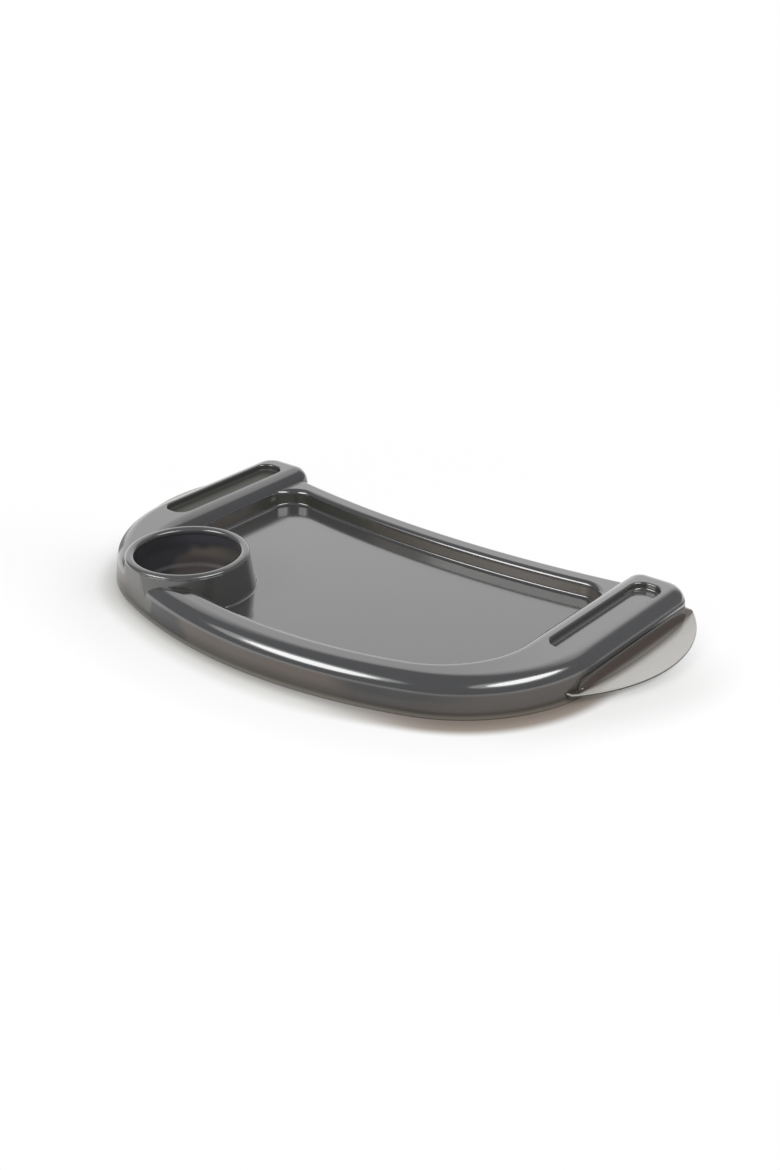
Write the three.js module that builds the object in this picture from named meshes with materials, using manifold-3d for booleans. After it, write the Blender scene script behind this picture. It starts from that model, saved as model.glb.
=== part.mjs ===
// High chair tray: a moulded shell with a basin, a cup well and two pocketed side ribs, held to a
// chair's arm bars by two guides and let go by two pull-out side wings. Millimetres, +Z up.
// +X is the tray's right, +Y the child's side. The origin is the middle of the footprint, on the table.
import * as THREE from 'three';
import Module from 'manifold-3d';

const wasm = await Module();
wasm.setup();

// Tray plan
const TRAY_WIDTH = 403;
const TRAY_DEPTH = 252;
const FRONT_ARC_RADIUS = 358;
const FRONT_CORNER_RADIUS = 114.5;
const BACK_CORNER_RADIUS = 19.5;
const BELLY_SETBACK = 25.8;
const BELLY_RADIUS = 869;

// Heights and walls
const RIM_HEIGHT = 26.3;
const BACK_RIM_HEIGHT = 18.5;
const FLOOR_HEIGHT = 6.1;
const WALL = 2.4;
const SKIRT_DRAFT = 1.5;
const EDGE_RADIUS = 12;
const BELLY_DRAFT = 0.5;
const BELLY_EDGE_RADIUS = 5;

// Ribs and basin
const RIB_TOP_WIDTH = 24.8;
const RIB_END_RADIUS = 1.5;
const FRONT_RIM_WIDTH = 5.2;
const BASIN_FRONT_CORNER_RADIUS = 77;
const BASIN_BACK_CORNER_RADIUS = 20;
const BACK_RIM_WIDTH = 6.1;
const BACK_WALL_DRAFT = 0.3;
const BACK_LIP_RADIUS = 4;
const LAP = 0.4;
const LOW_BODY_INSET = 8;

// Rib pockets
const POCKET_LENGTH = 115;
const POCKET_DEPTH = 5.3;
const POCKET_CORNER_RADIUS = 9;
const POCKET_EDGE_RADIUS = 1.5;
const POCKET_FLOOR_RADIUS = 1.8;
const POCKET_LAND = 0.7;
const POCKET_INNER_LAND = 2.4;
const POCKET_BACK_LAND = 7.2;

// Cup well and liner
const CUP_SIDE_SETBACK = 98.2;
const CUP_FRONT_SETBACK = 61.7;
const CUP_INNER_RADIUS = 39;
const CUP_LIP_WIDTH = 5.4;
const CUP_HEIGHT = 33.6;
const CUP_WALL = 1.5;
const CUP_FLOOR = 2.4;
const CUP_BOTTOM_Z = 1;
const CUP_FOOT_RADIUS = 5;
const CUP_DRAFT = 1;
const LIP_HEIGHT = 2.6;
const COLLAR_STEP = 0.2;
const COLLAR_TAPER = 3.8;

// Release wing
const WING_THICKNESS = 2;
const WING_UNDERSIDE_Z = 5;
const WING_OVERHANG = 27.5;
const WING_TIP_INSET = 2.2;
const WING_EDGE_ROUND = 0.6;
const WING_FRONT_SETBACK = 97.4;
const WING_REAR_SETBACK = 2.2;
const WING_SLOT_INSET = 9.9;
const WING_ROOT_HEIGHT = 6.6;
const WING_ROOT_WIDTH = 9;
const WING_ROOT_INSET = 12;
const TONGUE_MARGIN = 22.7;
const WING_TRAVEL = 5;
const TOOTH_LENGTH = 10;
const TOOTH_SPACING_SHARE = 0.467;
const TOOTH_REACH = 3.5;
const SLOT_MARGIN = 2.4;
const RECESS_DEPTH = 3.2;
const RECESS_TOP_Z = 14.6;

// Arm guide
const ARM_WIDTH = 19.4;
const ARM_CLEARANCE = 0.3;
const GUIDE_WALL = 2;
const GUIDE_SIDE_CLEARANCE = 0.4;
const GUIDE_BOTTOM_Z = 0.8;
const GUIDE_HEIGHT = 12.8;
const GUIDE_LIP_WIDTH = 4.5;
const GUIDE_LIP_THICKNESS = 2.2;
const GUIDE_FRONT_SETBACK = 89.8;
const GUIDE_BACK_SETBACK = 12;
const SHELF_THICKNESS = 2.4;
const SHELF_INSET = 4.7;
const SHELF_MARGIN = 2;
const EAR_RADIUS = 5.2;
const REAR_EAR_INSET = 18.5;
const REAR_EAR_SETBACK = 13;
const MOUTH_CLEARANCE = 1;

// Screws and bosses
const SCREW_SHANK_RADIUS = 1.3;
const SCREW_HEAD_RADIUS = 2.7;
const SCREW_HEAD_HEIGHT = 1.6;
const SCREW_LENGTH = 8.8;
const SCREW_RECESS_WIDTH = 0.8;
const SCREW_RECESS_DEPTH = 0.8;
const SEAT_DEPTH = 2;
const SEAT_PAD_RADIUS = 4.4;
const BOSS_RADIUS = 3.6;
const POST_RADIUS = 2.5;
const POST_SPACING_SHARE = 0.617;
const POST_INSET = 11.5;

// Springs and pads
const SPRING_RADIUS = 1.8;
const SPRING_WIRE_RADIUS = 0.25;
const SPRING_TURNS = 6;
const SPRING_LENGTH = 9;
const SPRING_SPACING_SHARE = 0.262;
const SPRING_LAND = 3.4;
const STOP_THICKNESS = 2;
const STOP_WIDTH = 3.2;
const PAD_LENGTH = 30;
const PAD_MARGIN = 0.5;
const PAD_THICKNESS = 1.2;
const PAD_CORNER_RADIUS = 3;
const PAD_SPACING_SHARE = 0.613;

// Clearance between parts that move or lie side by side, and the overrun of cuts
const GAP = 0.3;
const OVERRUN = 6;

// Segments of the round stretches
const FRONT_STEPS = 10;
const CORNER_STEPS = 9;
const END_STEPS = 5;
const FILLET_STEPS = 5;
const CUP_STEPS = 48;
const BAR_STEPS = 12;
const COIL_STEPS = 8;
const WIRE_SIDES = 5;

// Places worked out from the sizes above
const HALF_WIDTH = TRAY_WIDTH / 2;
const BACK_Y = TRAY_DEPTH / 2;
const FRONT_ARC_Y = FRONT_ARC_RADIUS - BACK_Y;
const WALL_TOP_Z = RIM_HEIGHT - EDGE_RADIUS;
const EDGE_INSET = SKIRT_DRAFT + EDGE_RADIUS;
const RIB_OUTER_X = HALF_WIDTH - EDGE_INSET;
const RIB_INNER_X = RIB_OUTER_X - RIB_TOP_WIDTH;
const BASIN_ARC_RADIUS = FRONT_ARC_RADIUS - EDGE_INSET - FRONT_RIM_WIDTH;
const BELLY_CENTRE_Y = BACK_Y - BELLY_SETBACK + BELLY_RADIUS;
const BACK_WALL_RADIUS = BELLY_RADIUS + BELLY_DRAFT + BELLY_EDGE_RADIUS + BACK_RIM_WIDTH;
const POCKET_WIDTH = RIB_TOP_WIDTH - POCKET_LAND - POCKET_INNER_LAND;
const POCKET_X = RIB_OUTER_X - POCKET_LAND - POCKET_WIDTH / 2;
const POCKET_Y = BACK_Y - EDGE_INSET - POCKET_BACK_LAND - POCKET_LENGTH / 2;
const POCKET_FLOOR_Z = RIM_HEIGHT - POCKET_DEPTH;
const CUP_X = CUP_SIDE_SETBACK - HALF_WIDTH;
const CUP_Y = CUP_FRONT_SETBACK - BACK_Y;
const CUP_LIP_RADIUS = CUP_INNER_RADIUS + CUP_LIP_WIDTH;
const COLLAR_TOP_RADIUS = CUP_LIP_RADIUS - COLLAR_STEP;
const COLLAR_FOOT_RADIUS = COLLAR_TOP_RADIUS + COLLAR_TAPER;
const LIP_UNDERSIDE_Z = CUP_HEIGHT - LIP_HEIGHT;
const LINER_RADIUS = CUP_INNER_RADIUS + CUP_WALL;
const WING_TOP_Z = WING_UNDERSIDE_Z + WING_THICKNESS;
const WING_MIDDLE_Z = WING_UNDERSIDE_Z + WING_THICKNESS / 2;
const RECESS_X = HALF_WIDTH - RECESS_DEPTH;
const WING_ROOT_X = RECESS_X + GAP;
const WING_FRONT_Y = WING_FRONT_SETBACK - BACK_Y;
const WING_REAR_Y = BACK_Y - WING_REAR_SETBACK;
const WING_MIDDLE_Y = (WING_FRONT_Y + WING_REAR_Y) / 2;
const WING_HALF_CHORD = (WING_REAR_Y - WING_FRONT_Y) / 2;
const WING_RISE = WING_OVERHANG + WING_TIP_INSET;
const WING_RADIUS = (WING_HALF_CHORD ** 2 + WING_RISE ** 2) / (2 * WING_RISE);
const WING_CENTRE_X = HALF_WIDTH + WING_OVERHANG - WING_RADIUS;
const WING_SLOT_X = HALF_WIDTH - WING_SLOT_INSET;
const GUIDE_INNER_X = RIB_INNER_X - EDGE_RADIUS + WALL + GUIDE_SIDE_CLEARANCE;
const GUIDE_FRONT_Y = GUIDE_FRONT_SETBACK - BACK_Y;
const GUIDE_BACK_Y = BACK_Y - GUIDE_BACK_SETBACK;
const CHANNEL_INNER_X = GUIDE_INNER_X + GUIDE_WALL;
const CHANNEL_OUTER_X = CHANNEL_INNER_X + ARM_WIDTH + 2 * ARM_CLEARANCE;
const CHANNEL_MIDDLE_X = (CHANNEL_INNER_X + CHANNEL_OUTER_X) / 2;
const GUIDE_OUTER_X = CHANNEL_OUTER_X + GUIDE_WALL;
const GUIDE_TOP_Z = GUIDE_BOTTOM_Z + GUIDE_HEIGHT;
const WEB_UNDERSIDE_Z = GUIDE_TOP_Z - GUIDE_WALL;
const LIP_TOP_Z = GUIDE_BOTTOM_Z + GUIDE_LIP_THICKNESS;
const SHELF_TOP_Z = WING_UNDERSIDE_Z - GAP;
const SHELF_UNDERSIDE_Z = SHELF_TOP_Z - SHELF_THICKNESS;
const SHELF_OUTER_X = HALF_WIDTH - SHELF_INSET;
const POST_TOP_Z = WING_TOP_Z + GAP;
const SEAT_Z = GUIDE_BOTTOM_Z + SEAT_DEPTH;
const TONGUE_INNER_X = GUIDE_OUTER_X + GAP;
const TONGUE_FRONT_Y = WING_FRONT_Y + TONGUE_MARGIN;
const TONGUE_BACK_Y = WING_REAR_Y - TONGUE_MARGIN;
const TONGUE_LENGTH = TONGUE_BACK_Y - TONGUE_FRONT_Y;
const TOOTH_SPACING = TONGUE_LENGTH * TOOTH_SPACING_SHARE;
const POST_SPACING = TONGUE_LENGTH * POST_SPACING_SHARE;
const SPRING_SPACING = TONGUE_LENGTH * SPRING_SPACING_SHARE;
const POST_X = HALF_WIDTH - POST_INSET;
const SPRING_START_X = TONGUE_INNER_X + SPRING_LAND;
const STOP_X = SPRING_START_X + SPRING_LENGTH;
const FRONT_EAR_Y = GUIDE_FRONT_Y - EAR_RADIUS;
const REAR_EAR_X = HALF_WIDTH - REAR_EAR_INSET;
const REAR_EAR_Y = BACK_Y - REAR_EAR_SETBACK;
const PAD_WIDTH = CHANNEL_OUTER_X - CHANNEL_INNER_X - 2 * (TOOTH_REACH + PAD_MARGIN);
const PAD_MIDDLE_Y = (GUIDE_FRONT_Y + GUIDE_BACK_Y) / 2;
const PAD_SPACING = (GUIDE_BACK_Y - GUIDE_FRONT_Y) * PAD_SPACING_SHARE;
const BORE_TOP_Z = SEAT_Z + SCREW_LENGTH + 2 * GAP;

const quarter = Math.PI / 2;
const SCREW_PLACES = {
  front_guide: { x: CHANNEL_MIDDLE_X, y: FRONT_EAR_Y, top: SHELF_TOP_Z },
  front_wing: { x: POST_X, y: WING_MIDDLE_Y - POST_SPACING / 2, top: POST_TOP_Z },
  rear_wing: { x: POST_X, y: WING_MIDDLE_Y + POST_SPACING / 2, top: POST_TOP_Z },
  rear_guide: { x: REAR_EAR_X, y: REAR_EAR_Y, top: SHELF_TOP_Z },
};
const WING_SCREWS = [SCREW_PLACES.front_wing, SCREW_PLACES.rear_wing];
const TOOTH_YS = [-1, 1].map((end) => WING_MIDDLE_Y + (end * TOOTH_SPACING) / 2);
const SPRING_YS = [-1, 1].map((end) => WING_MIDDLE_Y + (end * SPRING_SPACING) / 2);

// Points on a circle from one angle to another, both ends included.
function arc(cx, cy, radius, from, to, steps) {
  const points = [];
  for (let k = 0; k <= steps; k += 1) {
    const angle = from + ((to - from) * k) / steps;
    points.push([cx + radius * Math.cos(angle), cy + radius * Math.sin(angle)]);
  }
  return points;
}

// Half an outline from the front middle to the back middle, closed by its mirror image.
function mirrored(half) {
  return half.concat(half.slice(1, -1).map(([x, y]) => [-x, y]).reverse());
}

// The front arc and the round corner that runs from it into a straight side.
function frontHalf(sideX, arcRadius, cornerRadius, inset) {
  const x = sideX - cornerRadius;
  const y = FRONT_ARC_Y - Math.sqrt((arcRadius - cornerRadius) ** 2 - x ** 2);
  const turn = Math.atan2(y - FRONT_ARC_Y, x);
  return [
    ...arc(0, FRONT_ARC_Y, arcRadius - inset, -quarter, turn, FRONT_STEPS).slice(0, -1),
    ...arc(x, y, cornerRadius - inset, turn, 0, CORNER_STEPS),
  ];
}

// The tray's outline with a straight back, moved in by an inset.
function bodyRing(inset) {
  const x = HALF_WIDTH - BACK_CORNER_RADIUS;
  const y = BACK_Y - BACK_CORNER_RADIUS;
  return mirrored([
    ...frontHalf(HALF_WIDTH, FRONT_ARC_RADIUS, FRONT_CORNER_RADIUS, inset),
    ...arc(x, y, BACK_CORNER_RADIUS - inset, 0, quarter, END_STEPS),
    [0, BACK_Y - inset],
  ]);
}

// The opening between the ribs, open at the child's side, where the ribs' ends turn outwards.
function gapRing(inset) {
  const steps = END_STEPS - 1;
  const x = RIB_INNER_X + RIB_END_RADIUS;
  const y = BACK_Y - EDGE_INSET - RIB_END_RADIUS;
  const turn = (quarter * END_STEPS) / (END_STEPS - 1 / 2);
  const end = arc(x, y, RIB_END_RADIUS + inset, 2 * quarter, turn, steps);
  return mirrored([
    ...frontHalf(RIB_INNER_X, BASIN_ARC_RADIUS, BASIN_FRONT_CORNER_RADIUS, inset),
    ...end,
    [end[steps][0], BACK_Y + OVERRUN],
    [0, BACK_Y + OVERRUN],
  ]);
}

// The low body under the basin and the child's side rim, inside the ribs and the front rim.
function lowRing(sideInset, bellyInset) {
  const radius = BELLY_RADIUS + bellyInset;
  const side = frontHalf(HALF_WIDTH, FRONT_ARC_RADIUS, FRONT_CORNER_RADIUS, sideInset);
  const end = -Math.acos((RIB_INNER_X + RIB_END_RADIUS) / radius);
  return mirrored([
    ...side,
    [HALF_WIDTH - sideInset, BACK_Y - BELLY_SETBACK - sideInset],
    ...arc(0, BELLY_CENTRE_Y, radius, end, -quarter, FRONT_STEPS),
  ]);
}

// The basin: the front and the sides in from the rim's inner edge, the back in from the back rim.
function basinRing(inset, backInset, cornerRadius) {
  const radius = BACK_WALL_RADIUS + backInset;
  const x = RIB_INNER_X - inset - cornerRadius;
  const y = BELLY_CENTRE_Y - Math.sqrt((radius + cornerRadius) ** 2 - x ** 2);
  const turn = Math.atan2(y - BELLY_CENTRE_Y, x);
  return mirrored([
    ...frontHalf(RIB_INNER_X, BASIN_ARC_RADIUS, BASIN_FRONT_CORNER_RADIUS, inset),
    ...arc(x, y, cornerRadius, 0, turn + 2 * quarter, END_STEPS).slice(0, -1),
    ...arc(0, BELLY_CENTRE_Y, radius, turn, -quarter, FRONT_STEPS),
  ]);
}

// A rectangle with round corners, centred on a place.
function padRing(cx, cy, width, length, radius) {
  const x = width / 2 - radius;
  const y = length / 2 - radius;
  return [
    ...arc(cx + x, cy - y, radius, -quarter, 0, END_STEPS),
    ...arc(cx + x, cy + y, radius, 0, quarter, END_STEPS),
    ...arc(cx - x, cy + y, radius, quarter, 2 * quarter, END_STEPS),
    ...arc(cx - x, cy - y, radius, 2 * quarter, 3 * quarter, END_STEPS),
  ];
}

const circle = (x, y, radius, steps) => arc(x, y, radius, 0, 4 * quarter, steps).slice(0, -1);

// A closed surface through rings of equal point counts, each at its own height, with flat end caps.
function loft(rows) {
  const count = rows[0].ring.length;
  const positions = [];
  rows.forEach(({ ring, z }) => ring.forEach(([x, y]) => positions.push(x, y, z)));
  const index = [];
  for (let r = 0; r < rows.length - 1; r += 1) {
    for (let k = 0; k < count; k += 1) {
      const a = r * count + k;
      const b = r * count + ((k + 1) % count);
      index.push(a, b, b + count, a, b + count, a + count);
    }
  }
  const cap = ({ ring }) => THREE.ShapeUtils.triangulateShape(ring.map(([x, y]) => new THREE.Vector2(x, y)), []);
  const top = (rows.length - 1) * count;
  cap(rows[0]).forEach(([a, b, c]) => index.push(a, c, b));
  cap(rows[rows.length - 1]).forEach(([a, b, c]) => index.push(top + a, top + b, top + c));
  const geometry = new THREE.BufferGeometry();
  geometry.setAttribute('position', new THREE.Float32BufferAttribute(positions, 3));
  geometry.setIndex(index);
  return geometry;
}

// A three.js geometry as a solid that can be joined and cut.
function solid(geometry) {
  const source = geometry.index ? geometry.toNonIndexed() : geometry;
  const places = source.attributes.position;
  const digits = 5;
  const seen = new Map();
  const vertices = [];
  const triangles = [];
  for (let k = 0; k < places.count; k += 3) {
    const corners = [0, 1, 2].map((c) => {
      const point = [places.getX(k + c), places.getY(k + c), places.getZ(k + c)];
      const key = point.map((v) => (Math.round(v * 10 ** digits) || 0)).join(' ');
      if (!seen.has(key)) {
        seen.set(key, vertices.length / 3);
        vertices.push(...point);
      }
      return seen.get(key);
    });
    if (new Set(corners).size === 3) triangles.push(...corners);
  }
  return new wasm.Manifold(new wasm.Mesh({
    numProp: 3,
    vertProperties: new Float32Array(vertices),
    triVerts: new Uint32Array(triangles),
  }));
}

// A solid back as a three.js geometry.
function geometryOf(manifold) {
  const mesh = manifold.getMesh();
  const geometry = new THREE.BufferGeometry();
  geometry.setAttribute('position', new THREE.Float32BufferAttribute(mesh.vertProperties, mesh.numProp));
  geometry.setIndex(Array.from(mesh.triVerts));
  return geometry;
}

// The same geometry on the tray's other side.
function flipped(geometry) {
  const copy = geometry.clone();
  copy.scale(-1, 1, 1);
  const order = Array.from(copy.index.array);
  for (let k = 0; k < order.length; k += 3) [order[k + 1], order[k + 2]] = [order[k + 2], order[k + 1]];
  copy.setIndex(order);
  return copy;
}

const join = (parts) => parts.reduce((all, part) => all.add(part));
const cut = (body, parts) => parts.reduce((rest, part) => rest.subtract(part), body);
const bothSides = (part) => [part, solid(flipped(geometryOf(part)))];

// A box from its low to its high corner.
function box([x0, y0, z0], [x1, y1, z1]) {
  const geometry = new THREE.BoxGeometry(x1 - x0, y1 - y0, z1 - z0);
  geometry.translate((x0 + x1) / 2, (y0 + y1) / 2, (z0 + z1) / 2);
  return solid(geometry);
}

// An upright solid of round rings, each with its own radius and height.
function turned(x, y, steps, rows) {
  return solid(loft(rows.map(([radius, z]) => ({ ring: circle(x, y, radius, steps), z }))));
}

const bar = (x, y, radius, z0, z1) => turned(x, y, BAR_STEPS, [[radius, z0], [radius, z1]]);

// How far the skin stands in from the skirt's foot at a height, for the outside or a wall inside it.
function insetAt(z, wall) {
  const radius = EDGE_RADIUS - wall;
  const rise = Math.min(radius, Math.max(0, z - WALL_TOP_Z));
  return wall + (SKIRT_DRAFT * Math.min(z, WALL_TOP_Z)) / WALL_TOP_Z + radius - Math.sqrt(radius ** 2 - rise ** 2);
}

// The heights of the skin's rows from a lowest one up to the rim.
function skinHeights(wall, lowest) {
  const radius = EDGE_RADIUS - wall;
  const heights = [lowest];
  for (let k = 0; k <= FILLET_STEPS; k += 1) {
    heights.push(WALL_TOP_Z + radius * Math.sin((quarter * k) / FILLET_STEPS));
  }
  return heights;
}

// The rim with its two ribs, solid inside, or the room inside it.
function rimBody(wall, lowest) {
  const body = solid(loft(skinHeights(wall, lowest).map((z) => ({ ring: bodyRing(insetAt(z, wall)), z }))));
  const opening = skinHeights(wall, lowest - OVERRUN).map((z) => ({ ring: gapRing(EDGE_INSET - insetAt(z, wall)), z }));
  opening.push({ ring: gapRing(0), z: RIM_HEIGHT + OVERRUN });
  return body.subtract(solid(loft(opening)));
}

// The low body with the basin let into it, solid inside, or the room under it.
function lowBody(wall, lowest) {
  const radius = BELLY_EDGE_RADIUS - wall;
  const edgeZ = BACK_RIM_HEIGHT - BELLY_EDGE_RADIUS;
  const rows = [{ ring: lowRing(LOW_BODY_INSET + wall, wall), z: lowest }];
  for (let k = 0; k <= FILLET_STEPS; k += 1) {
    const angle = (quarter * k) / FILLET_STEPS;
    rows.push({
      ring: lowRing(LOW_BODY_INSET + wall, wall + BELLY_DRAFT + radius * (1 - Math.cos(angle))),
      z: edgeZ + radius * Math.sin(angle),
    });
  }
  const corner = BASIN_BACK_CORNER_RADIUS + wall;
  const lipZ = BACK_RIM_HEIGHT - BACK_LIP_RADIUS;
  const side = (z) => EDGE_INSET - insetAt(z, wall) - LAP;
  const basin = [
    { z: FLOOR_HEIGHT - wall, back: BACK_LIP_RADIUS + BACK_WALL_DRAFT },
    { z: WALL_TOP_Z, back: BACK_LIP_RADIUS },
    { z: lipZ, back: BACK_LIP_RADIUS },
  ];
  if (wall === 0) {
    for (let k = 1; k <= FILLET_STEPS; k += 1) {
      const angle = (quarter * k) / FILLET_STEPS;
      basin.push({ z: lipZ + BACK_LIP_RADIUS * Math.sin(angle), back: BACK_LIP_RADIUS * Math.cos(angle) });
    }
  }
  basin.push({ ...basin[basin.length - 1], z: BACK_RIM_HEIGHT + OVERRUN / 2 });
  const room = basin.map(({ z, back }) => ({ ring: basinRing(side(z), back - wall, corner), z }));
  return solid(loft(rows)).subtract(solid(loft(room)));
}

// A rib's pocket, or the block of material that its walls and floor are cut from.
function pocket(wall) {
  const width = POCKET_WIDTH + 2 * wall;
  const length = POCKET_LENGTH + 2 * wall;
  const radius = POCKET_CORNER_RADIUS + wall;
  const rows = [];
  const row = (grow, z) => rows.push({
    ring: padRing(POCKET_X, POCKET_Y, width + 2 * grow, length + 2 * grow, radius + grow),
    z,
  });
  const foot = wall ? 0 : POCKET_FLOOR_RADIUS;
  for (let k = 0; k <= FILLET_STEPS - 2 && foot; k += 1) {
    const angle = (quarter * k) / (FILLET_STEPS - 2);
    row(foot * (Math.sin(angle) - 1), POCKET_FLOOR_Z + foot * (1 - Math.cos(angle)));
  }
  if (wall) row(0, POCKET_FLOOR_Z - wall);
  for (let k = 0; k <= FILLET_STEPS - 2 && !wall; k += 1) {
    const angle = (quarter * k) / (FILLET_STEPS - 2);
    row(POCKET_EDGE_RADIUS * (1 - Math.cos(angle)), RIM_HEIGHT - POCKET_EDGE_RADIUS * (1 - Math.sin(angle)));
  }
  row(wall ? 0 : POCKET_EDGE_RADIUS, RIM_HEIGHT + OVERRUN);
  return solid(loft(rows));
}

// The collar round the cup well, cut off flush with the tray's outline.
function collar() {
  const cone = turned(CUP_X, CUP_Y, CUP_STEPS, [
    [COLLAR_FOOT_RADIUS, CUP_BOTTOM_Z],
    [COLLAR_TOP_RADIUS, LIP_UNDERSIDE_Z],
  ]);
  const outline = solid(loft([
    { ring: bodyRing(0), z: 0 },
    { ring: bodyRing(SKIRT_DRAFT), z: WALL_TOP_Z },
    { ring: bodyRing(SKIRT_DRAFT), z: CUP_HEIGHT + OVERRUN },
  ]));
  return cone.intersect(outline);
}

// The shell: skin, basin, pockets, collar and bosses, with the wings' slots and the arms' mouths.
function trayShell() {
  const well = collar();
  const outside = join([rimBody(0, 0), lowBody(0, 0), well]);
  const bosses = Object.values(SCREW_PLACES).map(({ x, y, top }) => bar(x, y, BOSS_RADIUS, top, RIM_HEIGHT));
  const backing = box(
    [RECESS_X - WALL, WING_FRONT_Y, POST_TOP_Z + GAP / 3],
    [HALF_WIDTH, BACK_Y, RECESS_TOP_Z + WALL],
  );
  const kept = join([pocket(WALL), backing, ...bosses]);
  const room = cut(join([rimBody(WALL, -OVERRUN), lowBody(WALL, -OVERRUN)]), [well, ...bothSides(kept)]);
  const slot = box(
    [REAR_EAR_X + EAR_RADIUS, WING_FRONT_Y - SLOT_MARGIN, WING_UNDERSIDE_Z - GAP - GAP / 3],
    [HALF_WIDTH + OVERRUN, WING_REAR_Y + SLOT_MARGIN, POST_TOP_Z + GAP / 3],
  );
  const recess = box(
    [RECESS_X, WING_FRONT_Y - SLOT_MARGIN, POST_TOP_Z],
    [HALF_WIDTH + OVERRUN, BACK_Y, RECESS_TOP_Z],
  );
  const mouth = box(
    [CHANNEL_INNER_X - MOUTH_CLEARANCE, GUIDE_BACK_Y + GAP, -OVERRUN],
    [CHANNEL_OUTER_X + MOUTH_CLEARANCE, BACK_Y + OVERRUN, WEB_UNDERSIDE_Z + MOUTH_CLEARANCE],
  );
  const bores = Object.values(SCREW_PLACES).map(({ x, y, top }) => (
    bar(x, y, SCREW_SHANK_RADIUS + GAP, top - OVERRUN, BORE_TOP_Z)
  ));
  const cuts = join([pocket(0), slot, recess, mouth, ...bores]);
  const bore = turned(CUP_X, CUP_Y, CUP_STEPS, [
    [LINER_RADIUS + GAP, -OVERRUN],
    [LINER_RADIUS + GAP, CUP_HEIGHT + OVERRUN],
  ]);
  return cut(outside, [room, bore, ...bothSides(cuts)]);
}

// The cup liner: a tapered cup whose rolled lip lies on the collar.
function cupLiner() {
  const rows = [];
  const row = (radius, z) => rows.push([radius, z]);
  const bottomRadius = LINER_RADIUS - CUP_DRAFT;
  for (let k = 0; k < FILLET_STEPS; k += 1) {
    const angle = (quarter * k) / (FILLET_STEPS - 1);
    row(bottomRadius - CUP_FOOT_RADIUS * (1 - Math.sin(angle)), CUP_BOTTOM_Z + CUP_FOOT_RADIUS * (1 - Math.cos(angle)));
  }
  row(LINER_RADIUS, LIP_UNDERSIDE_Z);
  const middle = (CUP_INNER_RADIUS + CUP_LIP_RADIUS) / 2;
  const half = (CUP_LIP_RADIUS - CUP_INNER_RADIUS) / 2;
  for (let k = 0; k <= 2 * FILLET_STEPS; k += 1) {
    const angle = (quarter * k) / FILLET_STEPS;
    row(middle + half * Math.cos(angle), LIP_UNDERSIDE_Z + LIP_HEIGHT * Math.sin(angle));
  }
  const foot = CUP_FOOT_RADIUS - CUP_WALL;
  const floorZ = CUP_BOTTOM_Z + CUP_FLOOR;
  for (let k = FILLET_STEPS - 1; k >= 0; k -= 1) {
    const angle = (quarter * k) / (FILLET_STEPS - 1);
    row(bottomRadius - CUP_WALL - foot * (1 - Math.sin(angle)), floorZ + foot * (1 - Math.cos(angle)));
  }
  return turned(CUP_X, CUP_Y, CUP_STEPS, rows);
}

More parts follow.
